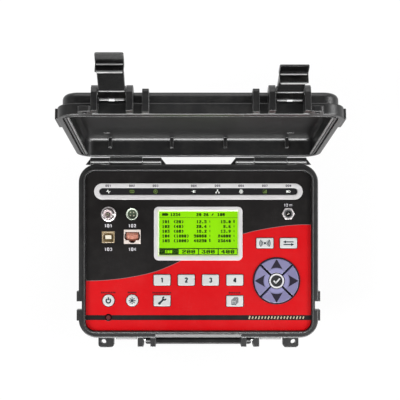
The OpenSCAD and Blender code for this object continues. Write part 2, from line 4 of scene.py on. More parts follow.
import bpy
import numpy as np
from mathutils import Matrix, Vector


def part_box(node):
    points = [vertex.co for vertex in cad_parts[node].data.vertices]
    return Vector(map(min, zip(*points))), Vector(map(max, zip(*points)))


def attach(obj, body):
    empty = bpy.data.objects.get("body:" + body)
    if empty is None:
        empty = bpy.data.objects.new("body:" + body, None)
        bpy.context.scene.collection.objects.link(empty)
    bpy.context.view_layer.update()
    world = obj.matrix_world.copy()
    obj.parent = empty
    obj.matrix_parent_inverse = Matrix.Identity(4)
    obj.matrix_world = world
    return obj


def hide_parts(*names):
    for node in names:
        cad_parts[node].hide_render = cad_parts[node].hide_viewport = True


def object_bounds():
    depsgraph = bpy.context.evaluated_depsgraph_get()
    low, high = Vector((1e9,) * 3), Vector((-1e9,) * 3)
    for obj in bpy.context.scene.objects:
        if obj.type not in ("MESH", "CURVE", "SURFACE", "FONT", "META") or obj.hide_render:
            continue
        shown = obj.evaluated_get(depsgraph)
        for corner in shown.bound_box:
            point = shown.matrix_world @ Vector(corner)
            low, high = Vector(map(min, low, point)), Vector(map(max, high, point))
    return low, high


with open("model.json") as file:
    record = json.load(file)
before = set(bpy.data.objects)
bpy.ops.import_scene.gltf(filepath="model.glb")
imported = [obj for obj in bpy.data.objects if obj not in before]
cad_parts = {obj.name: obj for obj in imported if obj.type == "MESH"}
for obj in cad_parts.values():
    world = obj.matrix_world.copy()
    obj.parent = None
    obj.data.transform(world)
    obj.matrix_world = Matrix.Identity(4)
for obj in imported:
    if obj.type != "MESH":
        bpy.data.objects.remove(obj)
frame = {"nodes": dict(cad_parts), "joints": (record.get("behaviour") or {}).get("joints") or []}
cad_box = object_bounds()
nodes = frame["nodes"]
scene = bpy.context.scene
scene.view_settings.view_transform = "Standard"
mm = 0.001

# Camera
# The tester is seen from straight above, 0.9 m over its rim and a little behind its middle.
# The picture is 400 pixels wide, and its optical axis lies left of the picture's middle.
picture_width = 400
sensor_width = 36
focal_pixels = 947
axis_column = 187.7
eye_place = (-10.3 * mm, 48.9 * mm, 997 * mm)
lens = bpy.data.cameras.new("eye")
lens.sensor_width = sensor_width
lens.lens = focal_pixels / picture_width * lens.sensor_width
lens.shift_x = 0.5 - axis_column / picture_width
eye = bpy.data.objects.new("eye", lens)
eye.location = eye_place
scene.collection.objects.link(eye)
scene.camera = eye

# Floor and light
# A pale bench under soft lamps at the left, right and back, in a white room that gloss sees dimmer
# overhead. The camera, gloss and glass see the floor nearly white, and the rest of it keeps the shadow.
# The strips are seen only in gloss, where they draw the highlights of the black plastic.
def put(tree, kind, feeds=None, **settings):
    """Adds one shader node, and feeds its inputs from plain values or from other nodes' outputs."""
    made = tree.nodes.new("ShaderNode" + kind)
    for name, value in settings.items():
        setattr(made, name, value)
    for name, value in (feeds or {}).items():
        if isinstance(value, bpy.types.NodeSocket):
            tree.links.new(value, made.inputs[name])
        else:
            made.inputs[name].default_value = value
    return made


floor_reach = 4.0
floor_drop = 0.2 * mm
floor_tone, floor_glow = 0.86, 0.86
floor_white = 1.03
lamp_height = 1.15
room_light = 0.5
horizon_share, horizon_end = 0.5, 0.6
overhead_share, overhead_start = 0.12, 0.9
lamps_face = Vector((0, 0.02, 0.1))

floor_mesh = bpy.data.meshes.new("bench")
floor_points = np.full((4, 3), cad_box[0].z - floor_drop)
floor_points[:, :2] = np.array([[-1, -1], [1, -1], [1, 1], [-1, 1]]) * floor_reach
floor_mesh.from_pydata(floor_points.tolist(), [], [(0, 1, 2, 3)])
floor = bpy.data.objects.new("bench", floor_mesh)
scene.collection.objects.link(floor)
bench_white = bpy.data.materials.new("bench_white")
bench_white.use_nodes = True
tree = bench_white.node_tree
tree.nodes.clear()
rays = put(tree, "LightPath").outputs
seen = put(tree, "Math", {0: rays["Is Camera Ray"], 1: rays["Is Glossy Ray"]}, operation="MAXIMUM").outputs[0]
seen = put(tree, "Math", {0: seen, 1: rays["Is Transmission Ray"]}, operation="MAXIMUM").outputs[0]
glow_share = put(tree, "Math", {0: seen, 1: floor_glow}, operation="MULTIPLY").outputs[0]
matt = put(tree, "BsdfDiffuse", {"Color": (floor_tone, floor_tone, floor_tone, 1)}).outputs[0]
glow = put(tree, "Emission", {"Color": (1, 1, 1, 1), "Strength": floor_white}).outputs[0]
blended = put(tree, "MixShader", {0: glow_share, 1: matt, 2: glow}).outputs[0]
put(tree, "OutputMaterial", {"Surface": blended})
floor_mesh.materials.append(bench_white)

room = bpy.data.worlds.new("room")
scene.world = room
room.use_nodes = True
tree = room.node_tree
tree.nodes.clear()
rays = put(tree, "LightPath").outputs
upward = put(tree, "SeparateXYZ", {0: put(tree, "TexCoord").outputs["Generated"]}).outputs["Z"]
dimming = put(tree, "MapRange", {"Value": upward, "From Min": horizon_end, "From Max": overhead_start,
                                 "To Min": horizon_share, "To Max": overhead_share},
              interpolation_type="SMOOTHSTEP").outputs[0]
strength = put(tree, "Mix", {0: rays["Is Glossy Ray"], 2: room_light, 3: dimming}).outputs[0]
strength = put(tree, "Mix", {0: rays["Is Camera Ray"], 2: strength, 3: 1.0}).outputs[0]
strength = put(tree, "Mix", {0: rays["Is Transmission Ray"], 2: strength, 3: 1.0}).outputs[0]
sky = put(tree, "Background", {"Color": (1, 1, 1, 1), "Strength": strength}).outputs[0]
put(tree, "OutputWorld", {"Surface": sky})


def soft_lamp(name, place, width, height, watts, only_gloss=False, in_gloss=True):
    """A flat lamp that faces the middle of the panel, and isn't seen itself. Some are seen in gloss only."""
    lamp = bpy.data.lights.new(name, "AREA")
    lamp.shape = "RECTANGLE"
    lamp.size = width
    lamp.size_y = height
    lamp.energy = watts
    held = bpy.data.objects.new(name, lamp)
    held.location = place
    held.visible_camera = False
    held.visible_diffuse = not only_gloss
    held.visible_glossy = in_gloss
    held.rotation_euler = (lamps_face - held.location).to_track_quat("-Z", "Y").to_euler()
    scene.collection.objects.link(held)


soft_lamp("lamp_left", (-1.05, -0.3, lamp_height), 0.6, 0.6, 11.5, in_gloss=False)
soft_lamp("lamp_right", (1.05, 0.1, lamp_height), 0.6, 0.6, 9)
soft_lamp("lamp_back", (0, 1.25, 0.8), 1.2, 0.3, 6)
soft_lamp("strip_front", (0, -1.1, 0.85), 1.8, 0.75, 125, only_gloss=True)
soft_lamp("strip_back", (0, 1.3, 0.5), 1.8, 0.35, 4, only_gloss=True)
soft_lamp("strip_right", (1.1, 0, 0.9), 1.2, 0.5, 22, only_gloss=True)

# Case shells
# Base and lid are moulded in black polypropylene with a fine spark-eroded grain, so they look satin.
# Their edges are painted paler, partly as rubbing by handling and partly as painted highlight, and some dust
# lies on what faces up.
def paint(code):
    """The linear colour of a written colour: each channel is a power curve with a short straight foot."""
    share = np.array([int(code[i:i + 2], 16) for i in (1, 3, 5)]) / 255
    linear = np.where(share <= 0.04045, share / 12.92, ((share + 0.055) / 1.055) ** 2.4)
    return (*linear.tolist(), 1.0)


def effect(name, takes, gives):
    """Starts a group of shader nodes that several finishes share, and returns its two ends."""
    group = bpy.data.node_groups.new(name, "ShaderNodeTree")
    for title, value in takes.items():
        group.interface.new_socket(title, in_out="INPUT", socket_type="NodeSocketFloat").default_value = value
    for title, kind in gives.items():
        group.interface.new_socket(title, in_out="OUTPUT", socket_type="NodeSocket" + kind)
    return group, group.nodes.new("NodeGroupInput").outputs, group.nodes.new("NodeGroupOutput").inputs


def use(tree, group, **feeds):
    """Places a shared group in a finish, with its own values."""
    placed = tree.nodes.new("ShaderNodeGroup")
    placed.node_tree = group
    for name, value in feeds.items():
        placed.inputs[name].default_value = value
    return placed.outputs


def sums(tree, how, first, second=0.0, clamp=False):
    """One step of arithmetic between two values."""
    return put(tree, "Math", {0: first, 1: second}, operation=how, use_clamp=clamp).outputs[0]


def span(tree, value, low, high, to_low=0.0, to_high=1.0):
    """Stretches a value from one span to another, and holds it at the ends."""
    return put(tree, "MapRange", {"Value": value, "From Min": low, "From Max": high, "To Min": to_low,
                                  "To Max": to_high}).outputs[0]


def mingle(tree, share, first, second, how="MIX"):
    """Mixes two colours by a share."""
    return put(tree, "Mix", {0: share, 6: first, 7: second}, data_type="RGBA", blend_type=how).outputs[2]


grain, given, back = effect("moulded_grain", {"Pitch": 0.5 * mm}, {"Height": "Float", "Tone": "Float"})
place = put(grain, "TexCoord").outputs["Object"]
per_metre = sums(grain, "DIVIDE", 1.0, given["Pitch"])
cells = put(grain, "VectorMath", {0: place, "Scale": per_metre}, operation="SCALE").outputs[0]
fine = put(grain, "TexNoise", {"Vector": cells, "Scale": 1.0, "Detail": 3.0, "Roughness": 0.65}).outputs[0]
pebbles = put(grain, "TexVoronoi", {"Vector": cells, "Scale": 0.7}, feature="SMOOTH_F1").outputs["Distance"]
raised = sums(grain, "ADD", sums(grain, "MULTIPLY", fine, 0.7), sums(grain, "MULTIPLY", pebbles, 0.5))
broad = put(grain, "TexNoise", {"Vector": place, "Scale": 13.0, "Detail": 5.0, "Roughness": 0.6}).outputs[0]
grain.links.new(raised, back["Height"])
grain.links.new(broad, back["Tone"])

# Paler edges: partly rubbing by handling, and partly painted highlight where a rounded edge would catch the
# light.
edges, given, back = effect("rubbed_edges", {"Width": 0.5 * mm}, {"Mask": "Float", "Normal": "Vector"})
rounded_normal = put(edges, "Bevel", {"Radius": given["Width"]}, samples=6).outputs[0]
flat_normal = put(edges, "NewGeometry").outputs["True Normal"]
agree = put(edges, "VectorMath", {0: rounded_normal, 1: flat_normal},
            operation="DOT_PRODUCT").outputs["Value"]
turned = span(edges, agree, 0.985, 0.8)
place = put(edges, "TexCoord").outputs["Object"]
patchy = put(edges, "TexNoise", {"Vector": place, "Scale": 150.0, "Detail": 4.0}).outputs[0]
edges.links.new(sums(edges, "MULTIPLY", turned, span(edges, patchy, 0.25, 0.6, 0.45, 1.0)), back["Mask"])
edges.links.new(rounded_normal, back["Normal"])

scuffs, given, back = effect("fine_scuffs", {"Amount": 0.5}, {"Mask": "Float"})
place = put(scuffs, "TexCoord").outputs["Object"]
lines = []
for turn, stretch in ((0.5, (70, 1500, 900)), (-0.9, (1300, 55, 800))):
    drawn = put(scuffs, "Mapping", {"Vector": place, "Rotation": (0.2, 0.3, turn),
                                    "Scale": stretch}).outputs[0]
    wavy = put(scuffs, "TexNoise", {"Vector": drawn, "Scale": 1.0, "Detail": 1.0}).outputs[0]
    off_middle = sums(scuffs, "ABSOLUTE", sums(scuffs, "SUBTRACT", wavy, 0.5))
    lines.append(span(scuffs, off_middle, 0.012, 0.004))
where = put(scuffs, "TexNoise", {"Vector": place, "Scale": 24.0, "Detail": 2.0}).outputs[0]
crossing = sums(scuffs, "MULTIPLY", sums(scuffs, "MAXIMUM", *lines), span(scuffs, where, 0.5, 0.7))
scuffs.links.new(sums(scuffs, "MULTIPLY", crossing, given["Amount"]), back["Mask"])

dust, given, back = effect("settled_dust", {"Amount": 0.3}, {"Mask": "Float"})
coordinates = put(dust, "TexCoord").outputs
upward = put(dust, "SeparateXYZ", {0: coordinates["Normal"]}).outputs["Z"]
flecks = put(dust, "TexNoise", {"Vector": coordinates["Object"], "Scale": 90.0, "Detail": 8.0,
                                "Roughness": 0.7}).outputs[0]
lying = sums(dust, "MULTIPLY", span(dust, upward, 0.5, 0.95), span(dust, flecks, 0.45, 0.75))
dust.links.new(sums(dust, "MULTIPLY", lying, given["Amount"]), back["Mask"])


def finish_of(name, roughness, metal=0.0, gloss=0.5, coat=0.0):
    """Starts a material with constant values, and returns it with its tree and its surface shader."""
    made = bpy.data.materials.new(name)
    made.use_nodes = True
    surface = made.node_tree.nodes["Principled BSDF"]
    surface.inputs["Roughness"].default_value = roughness
    surface.inputs["Metallic"].default_value = metal
    surface.inputs["Specular IOR Level"].default_value = gloss
    surface.inputs["Coat Weight"].default_value = coat
    return made, made.node_tree, surface


def uneven_gloss(tree, surface, tone, low, high):
    """Lets the roughness follow an uneven tone between two values."""
    tree.links.new(span(tree, tone, 0.3, 0.7, low, high), surface.inputs["Roughness"])


def relief(tree, surface, height, depth, strength=0.3, over=None):
    """Raises the surface by a height, over the rounded normal of its edges where there is one."""
    feeds = {"Strength": strength, "Distance": depth, "Height": height}
    if over is not None:
        feeds["Normal"] = over
    tree.links.new(put(tree, "Bump", feeds).outputs[0], surface.inputs["Normal"])


def moulded(name, colour, wear_and_sheen, roughness=0.42, gloss=0.4, pitch=0.5 * mm, depth=0.03 * mm, edge=0.5 * mm,
            dusty=0.06, worn=0.3):
    """A moulded plastic or rubber: grain, uneven tone, paler edges that are partly rubbed wear and partly
    painted highlight, scuffs and dust.
    """
    made, tree, surface = finish_of(name, roughness, gloss=gloss)
    textured = use(tree, grain, Pitch=pitch)
    rub_and_sheen = use(tree, edges, Width=edge)
    scratched = use(tree, scuffs, Amount=worn)["Mask"]
    lying = use(tree, dust, Amount=dusty)["Mask"]
    dark = tuple(0.86 * c for c in colour[:3]) + (1.0,)
    base = mingle(tree, span(tree, textured["Tone"], 0.35, 0.65), dark, colour)
    base = mingle(tree, sums(tree, "MULTIPLY", rub_and_sheen["Mask"], 0.6), base, wear_and_sheen)
    base = mingle(tree, sums(tree, "MULTIPLY", scratched, 0.22), base, wear_and_sheen)
    base = mingle(tree, lying, base, paint("#8f8c86"))
    tree.links.new(base, surface.inputs["Base Color"])
    uneven = span(tree, textured["Tone"], 0.3, 0.7, roughness - 0.03, roughness + 0.05)
    rough = sums(tree, "ADD", uneven, sums(tree, "MULTIPLY", scratched, 0.15), clamp=True)
    tree.links.new(rough, surface.inputs["Roughness"])
    relief(tree, surface, textured["Height"], depth, strength=0.6, over=rub_and_sheen["Normal"])
    return made


def dress(names, material):
    """Gives CAD nodes a finish, in place of the plain one that they came with."""
    for name in names:
        nodes[name].data.materials.clear()
        nodes[name].data.materials.append(material)


# The pale edge colour is partly wear and partly painted highlight along the rims and edges.
case_black = moulded("case_black", paint("#151516"), paint("#7c7c7c"), roughness=0.36, gloss=0.4,
                     depth=0.006 * mm, edge=0.8 * mm, worn=0.15)
dress(["base_shell", "lid_shell"], case_black)

# Lid side lips
# A narrow ledge runs down each side of the lid's opening, inside the seal, and ends in a round bead.
# The bead is coloured pale grey as a painted highlight, and the ledge a lighter grey than the case as
# painted highlight. Both are moulded with the lid, and are measured on the shut lid.
lid_hinge, = (joint for joint in frame["joints"] if joint["name"] == "lid_hinge")
lid_axis = np.array(lid_hinge["pos_m"])
lid_open = lid_hinge["range_deg"][1]
lip_reach, lip_top, lip_half = 105.9 * mm, 89.2 * mm, 70.5 * mm
bead_radius = 0.8 * mm
ledge_width, ledge_low, ledge_high, ledge_longer = 2.1 * mm, 0.3 * mm, 0.8 * mm, 0.6 * mm


def skin(rows, wrap=False):
    """Quads between each ring of points and the next, with flat ends unless the rings close up."""
    rows = np.asarray(rows, float)
    levels, count = rows.shape[:2]
    level = np.arange(levels if wrap else levels - 1)[:, None]
    step = np.arange(count)[None, :]
    ahead, over = (step + 1) % count, (level + 1) % levels * count
    level = level * count
    quads = np.stack([level + step, level + ahead, over + ahead, over + step], -1)
    faces = quads.reshape(-1, 4).tolist()
    if not wrap:
        faces += [list(range(count))[::-1], list(range((levels - 1) * count, levels * count))]
    return rows.reshape(-1, 3), faces


def piece(name, parts, material, body, replaces=(), sharp=32):
    """Joins closed parts into one mesh that rides on a body, with creases kept sharp."""
    points, faces, start = [], [], 0
    for part_points, part_faces in parts:
        points.append(part_points)
        faces += [[start + i for i in face] for face in part_faces]
        start += len(part_points)
    mesh = bpy.data.meshes.new(name)
    mesh.from_pydata(np.concatenate(points).tolist(), [], faces)
    mesh.polygons.foreach_set("use_smooth", [True] * len(mesh.polygons))
    mesh.set_sharp_from_angle(angle=math.radians(sharp))
    mesh.materials.append(material)
    made = bpy.data.objects.new(name, mesh)
    scene.collection.objects.link(made)
    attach(made, body)
    if replaces:
        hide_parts(*replaces)
    return made


def swung(points, axis, degrees):
    """Points turned about an axis along X: the usual rotation of the two other coordinates."""
    angle = math.radians(degrees)
    y, z = points[..., 1] - axis[1], points[..., 2] - axis[2]
    return np.stack([points[..., 0], axis[1] + y * math.cos(angle) - z * math.sin(angle),
                     axis[2] + y * math.sin(angle) + z * math.cos(angle)], -1)


def carried(outline, half):
    """A closed outline in X and Z, carried along Y between two ends and opened with the lid."""
    outline = np.asarray(outline, float)
    rows = [np.column_stack([outline[:, 0], np.full(len(outline), y), outline[:, 1]]) for y in (-half, half)]
    return skin(swung(np.array(rows), lid_axis, -lid_open))


around = np.linspace(0, 2 * np.pi, 16, endpoint=False)
bead = np.column_stack([np.sin(around), np.cos(around)]) * bead_radius
beads = []
ledges = []
for side in (-1, 1):
    beads.append(carried(bead + (side * lip_reach, lip_top), lip_half))
    near, far = sorted((side * lip_reach, side * (lip_reach + ledge_width)))
    low, high = lip_top - ledge_low, lip_top + ledge_high
    ledges.append(carried([(near, low), (near, high), (far, high), (far, low)], lip_half + ledge_longer))
# Pale grey as painted highlight, for the lid's lip beads and the latches' edge rods; the ledges get a lighter
# grey than the case as painted highlight.
polished_black = moulded("polished_black", paint("#9c9c9c"), paint("#d8d8d8"), roughness=0.3, gloss=0.5,
                         pitch=0.4 * mm, depth=0.004 * mm, edge=0.3 * mm)
lip_grey = moulded("lip_grey", paint("#2c2c2c"), paint("#484848"), roughness=0.4, depth=0.006 * mm)
piece("lid_lip_beads", beads, polished_black, "lid")
piece("lid_lip_ledges", ledges, lip_grey, "lid")

# Gasket
# A square cord of soft black rubber, extruded and pressed into the lid's groove. It is duller than
# the shells, and dust clings to it.
seal_black = moulded("seal_black", paint("#6a6a6b"), paint("#8a8a8a"), roughness=0.5, gloss=0.3,
                     pitch=0.8 * mm, edge=0.4 * mm)
dress(["lid_gasket"], seal_black)

# Latches
# Tougher black nylon, a little glossier than the case, moulded in one piece each, with its edges painted
# paler as painted highlight. Pale grey rods along the rounded edges are painted highlights too: the hook's
# lip, the step behind it, the step at the barrel and the foot, whose small white pad is a painted glint.
# Each is placed forward and up from the pin, on the shut latch.
edge_half = 10.2 * mm
latch_edges = np.array([(1.5, -30.7, 0.55), (7.9, -28.6, 0.9), (1.0, -2.9, 0.55), (5.2, 2.3, 0.8)]) * mm
pad_half = 3.1 * mm
latch_pad = np.array([4.7, 2.5, 1.4]) * mm
rod_tip = 0.08


def rod(half, y, z, radius, steps=16):
    """A rod along X whose radius falls to its ends by a quarter circle."""
    around = np.linspace(0, 2 * np.pi, steps, endpoint=False)
    fall = np.linspace(0, np.pi / 2, 5)
    reach = half - radius + radius * np.sin(fall)
    girth = radius * np.maximum(np.cos(fall), rod_tip)
    x = np.concatenate([-reach[::-1], reach])[:, None]
    girth = np.concatenate([girth[::-1], girth])[:, None]
    return np.stack(np.broadcast_arrays(x, y + girth * np.cos(around), z + girth * np.sin(around)), -1)


# The paler edge colour of the latches is painted highlight.
latch_black = moulded("latch_black", paint("#0f0f0f"), paint("#909090"), roughness=0.2, gloss=0.12,
                      pitch=0.4 * mm, depth=0.006 * mm, edge=0.9 * mm)
dress(["latch_left", "latch_right"], latch_black)
# The white pad on each latch's foot is a painted glint.
bright_pad = moulded("bright_pad", paint("#f2f2f2"), paint("#ffffff"), roughness=0.3, pitch=0.4 * mm,
                     depth=0.004 * mm, edge=0.3 * mm)
for latch in ("latch_left", "latch_right"):
    swing, = (joint for joint in frame["joints"] if joint["name"] == latch + "_swing")
    rods = [rod(edge_half, *numbers) for numbers in latch_edges] + [rod(pad_half, *latch_pad)]
    turned_back = -(swing["range_deg"][1] + lid_open)
    rods = [skin(swung(rows, np.zeros(3), turned_back) + swing["pos_m"]) for rows in rods]
    piece(latch + "_edges", rods[:-1], polished_black, latch)
    piece(latch + "_pad", rods[-1:], bright_pad, latch)

# Handle
# A fold-down grip of the same nylon with an arm at each end, moulded in one piece and hung on two pins.
# The hand keeps it dull.
handle_black = moulded("handle_black", paint("#0e0e0e"), paint("#5c5c5c"), roughness=0.34, gloss=0.2,
                       depth=0.01 * mm, edge=0.9 * mm)
dress(["handle"], handle_black)


# Pins and screws
# Drawn steel pins that are pressed through the knuckles and ears, and plated screws under the panel.
# The drawing leaves fine lines round or along the piece.
def plated(name, colour, roughness, edge=0.25 * mm, streaks=(900, 900, 60)):
    """Bare or plated metal: fine drawn lines, patches of dulled plating and brighter edges."""
    made, tree, surface = finish_of(name, roughness, metal=1.0)
    place = put(tree, "TexCoord").outputs["Object"]
    drawn = put(tree, "Mapping", {"Vector": place, "Scale": streaks}).outputs[0]
    fine = put(tree, "TexNoise", {"Vector": drawn, "Scale": 1.0, "Detail": 3.0}).outputs[0]
    textured = use(tree, grain, Pitch=2 * mm)
    rub_and_sheen = use(tree, edges, Width=edge)
    dull = tuple(0.72 * c for c in colour[:3]) + (1.0,)
    base = mingle(tree, span(tree, textured["Tone"], 0.35, 0.7), colour, dull)
    base = mingle(tree, sums(tree, "MULTIPLY", rub_and_sheen["Mask"], 0.5), base, paint("#f4f2ee"))
    tree.links.new(base, surface.inputs["Base Color"])
    uneven_gloss(tree, surface, fine, roughness - 0.08, roughness + 0.12)
    relief(tree, surface, fine, 0.004 * mm, over=rub_and_sheen["Normal"])
    return made


pin_steel = plated("pin_steel", paint("#a9aaa8"), 0.3, streaks=(60, 900, 900))
dress(["hinge_pins", "latch_pins", "handle_pins", "panel_screws", "board_screws"], pin_steel)

# Panel film and plate
# One polycarbonate sheet, printed from behind in black over red and bonded to a milled aluminium plate.
# The black ends in a long wave with a thin grey line, and a black stripe crosses the red near the front.
wave_points = [(-109, -28.9), (-87.4, -28.1), (-62.4, -24.8), (-42.4, -20.2), (-29.1, -15.2), (-18.3, -10.2),
               (6, 2.5), (43.7, 16.5), (72, 22.4), (92, 24.8), (109, 25.2)]
wave_reach = 109
wave_low, wave_high = -30, 30
wave_line = 0.6 * mm
stripe_middle, stripe_width = -64.3 * mm, 4.8 * mm

plate_metal = plated("plate_aluminium", paint("#b4b6b8"), 0.38, streaks=(40, 1200, 900))
dress(["panel_plate"], plate_metal)

panel_print, tree, surface = finish_of("panel_print", 0.36, gloss=0.12)
place = put(tree, "TexCoord").outputs["Object"]
across = put(tree, "SeparateXYZ", {0: place}).outputs
along = span(tree, across["X"], -wave_reach * mm, wave_reach * mm)
wave = put(tree, "FloatCurve", {"Value": along})
curve = wave.mapping.curves[0]
shares = [((x + wave_reach) / (2 * wave_reach), (y - wave_low) / (wave_high - wave_low))
          for x, y in wave_points]
curve.points[0].location = shares[0]
curve.points[1].location = shares[-1]
for share in shares[1:-1]:
    curve.points.new(*share)
wave.mapping.update()
height = span(tree, wave.outputs[0], 0, 1, wave_low * mm, wave_high * mm)
above = sums(tree, "SUBTRACT", across["Y"], height)
black_share = span(tree, above, -0.04 * mm, 0.04 * mm)
line_share = span(tree, sums(tree, "ABSOLUTE", above), wave_line * 0.55, wave_line * 0.4)
off_stripe = sums(tree, "ABSOLUTE", sums(tree, "SUBTRACT", across["Y"], stripe_middle))
stripe_share = span(tree, off_stripe, stripe_width / 2 + 0.04 * mm, stripe_width / 2 - 0.04 * mm)
textured = use(tree, grain, Pitch=0.35 * mm)
red = mingle(tree, span(tree, textured["Tone"], 0.3, 0.7), paint("#d4020e"), paint("#da0610"))
black = mingle(tree, span(tree, textured["Tone"], 0.3, 0.7), paint("#1b1919"), paint("#1e1c1c"))
printed = mingle(tree, sums(tree, "MAXIMUM", black_share, stripe_share), red, black)
printed = mingle(tree, sums(tree, "MULTIPLY", line_share, 0.6), printed, paint("#84787a"))
scratched = use(tree, scuffs, Amount=0.4)["Mask"]
printed = mingle(tree, sums(tree, "MULTIPLY", scratched, 0.12), printed, paint("#a09c9c"))
printed = mingle(tree, use(tree, dust, Amount=0.02)["Mask"], printed, paint("#9a9690"))
tree.links.new(printed, surface.inputs["Base Color"])
uneven_gloss(tree, surface, textured["Tone"], 0.3, 0.42)
rub_and_sheen = use(tree, edges, Width=0.2 * mm)
relief(tree, surface, textured["Height"], 0.012 * mm, over=rub_and_sheen["Normal"])
dress(["panel_film"], panel_print)

# Printed marks on the film
# Screen-printed ink a few hundredths of a millimetre thick: plain numbers at the sockets, a direct
# current sign at the power jack, short bars over some keys and a row of slanted bars in the stripe.
ink_height = 0.05 * mm
ink_sink = 0.02 * mm
film_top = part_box("panel_film")[1].z


def at_height(outline, z):
    """A flat outline lifted to one height."""
    return np.column_stack([outline, np.full(len(outline), z)])


def prisms(outlines, low, high):
    """Each flat outline stands up as a prism between two heights."""
    return [skin([at_height(outline, low), at_height(outline, high)]) for outline in outlines]


def disc(x, y, radius, steps=32):
    """A circle round a point."""
    turn = np.linspace(0, 2 * np.pi, steps, endpoint=False)
    return np.column_stack([x + radius * np.cos(turn), y + radius * np.sin(turn)])


def arc(x, y, radius, width, start, end, steps=18):
    """A band that follows a circle between two angles: out along its outer edge, back along its inner."""
    turn = np.radians(np.linspace(start, end, steps))
    outer = np.column_stack([np.cos(turn), np.sin(turn)]) * (radius + width / 2)
    inner = np.column_stack([np.cos(turn), np.sin(turn)])[::-1] * (radius - width / 2)
    return np.concatenate([outer, inner]) + (x, y)


def ring(x, y, radius, width):
    """A whole band, as two halves."""
    return [arc(x, y, radius, width, 0, 180, 24), arc(x, y, radius, width, 180, 360, 24)]


def bar(x0, y0, x1, y1, width):
    """A straight stroke between two points, with square ends."""
    along = np.array([x1 - x0, y1 - y0], float)
    side = np.array([along[1], -along[0]]) / np.hypot(*along) * width / 2
    start, end = np.array([x0, y0]), np.array([x1, y1])
    return np.array([start + side, end + side, end - side, start - side])


def placed(outlines, x, y, size):
    """Outlines drawn about the origin, scaled and moved to their place."""
    return [np.asarray(outline, float) * size + (x, y) for outline in outlines]


numeral_strokes = {
    "0": [("arc", 0, 0.26, 0.22, 0, 180), ("arc", 0, -0.26, 0.22, 180, 360),
          ("bar", -0.22, -0.26, -0.22, 0.26), ("bar", 0.22, -0.26, 0.22, 0.26)],
    "1": [("bar", 0.06, -0.5, 0.06, 0.5), ("bar", -0.17, 0.27, 0.05, 0.45)],
    "2": [("arc", 0, 0.24, 0.22, -25, 180), ("bar", 0.2, 0.15, -0.2, -0.42),
          ("bar", -0.28, -0.42, 0.28, -0.42)],
    "3": [("arc", 0, 0.22, 0.2, -90, 160), ("arc", 0, -0.2, 0.22, -160, 90)],
    "4": [("bar", 0.13, -0.5, 0.13, 0.5), ("bar", -0.3, -0.2, 0.3, -0.2),
          ("bar", 0.1, 0.46, -0.26, -0.18)],
    "5": [("bar", -0.2, 0.42, 0.25, 0.42), ("bar", -0.18, 0.45, -0.18, 0),
          ("arc", -0.02, -0.18, 0.24, -150, 120)],
    "6": [("arc", 0, -0.2, 0.22, 0, 180), ("arc", 0, -0.2, 0.22, 180, 360),
          ("bar", -0.19, -0.1, 0.08, 0.48)],
    "7": [("bar", -0.26, 0.42, 0.26, 0.42), ("bar", 0.22, 0.42, -0.08, -0.5)],
    "8": [("arc", 0, 0.22, 0.19, 0, 180), ("arc", 0, 0.22, 0.19, 180, 360), ("arc", 0, -0.2, 0.22, 0, 180),
          ("arc", 0, -0.2, 0.22, 180, 360)],
    "9": [("arc", 0, 0.2, 0.22, 0, 180), ("arc", 0, 0.2, 0.22, 180, 360), ("bar", 0.19, 0.1, -0.08, -0.48)],
}


def numerals(digits, x, y, height, pitch=0.84, stroke=0.25, wide=1.0):
    """Plain numbers drawn with straight and round strokes, centred on a point."""
    outlines = []
    for place, digit in enumerate(digits):
        middle = (place - (len(digits) - 1) / 2) * pitch
        for kind, *numbers in numeral_strokes[digit]:
            if kind == "bar":
                drawn = bar(*numbers, stroke)
            else:
                across, up, radius, start, end = numbers
                drawn = arc(across, up, radius, stroke, start, end)
            outlines.append((drawn + (middle, 0)) * (wide, 1))
    return placed(outlines, x, y, height)


def ink(name, colour, roughness=0.4, glow=0.0):
    """Printed ink: even in colour, with fine pinholes in its tone and gloss."""
    made, tree, surface = finish_of(name, roughness, gloss=0.15)
    textured = use(tree, grain, Pitch=0.15 * mm)
    thin = tuple(0.85 * c for c in colour[:3]) + (1.0,)
    base = mingle(tree, span(tree, textured["Height"], 0.3, 0.6), thin, colour)
    tree.links.new(base, surface.inputs["Base Color"])
    uneven_gloss(tree, surface, textured["Tone"], roughness - 0.08, roughness + 0.08)
    relief(tree, surface, textured["Height"], 0.01 * mm, strength=0.2)
    surface.inputs["Emission Color"].default_value = colour
    surface.inputs["Emission Strength"].default_value = glow
    return made


def print_marks(name, marks, top, finish, body, thick=ink_height, middle=(0, 0)):
    """Marks drawn in millimetres about a point stand on a face as a thin layer of ink."""
    placed_marks = [np.asarray(mark, float) * mm + middle for mark in marks]
    piece(name, prisms(placed_marks, top - ink_sink, top + thick), finish, body)


white_ink = ink("white_ink", paint("#dcdadf"))
dark_ink = ink("dark_ink", paint("#2b2433"))
maroon_ink = ink("maroon_ink", paint("#520f17"))
socket_number_size = 2.8
socket_numbers = [("101", -86.8, 24.1), ("102", -63.8, 24.1), ("103", -86.8, 1.5), ("104", -63.7, 1.5)]
marks = []
for number, x, y in socket_numbers:
    marks += numerals(number, x, y, socket_number_size, wide=1.15)
jack_x, jack_y = 86.4, 43.9
marks += numerals("12", jack_x - 2.2, jack_y, 2.6)
current_sign = [bar(-1.5, 0.5, 1.5, 0.5, 0.5)]
current_sign += [bar(x - 0.35, -0.6, x + 0.35, -0.6, 0.5) for x in (-1.15, 0, 1.15)]
marks += placed(current_sign, jack_x + 2.4, jack_y, 1)
print_marks("socket_numbers", marks, film_top, white_ink, "base")

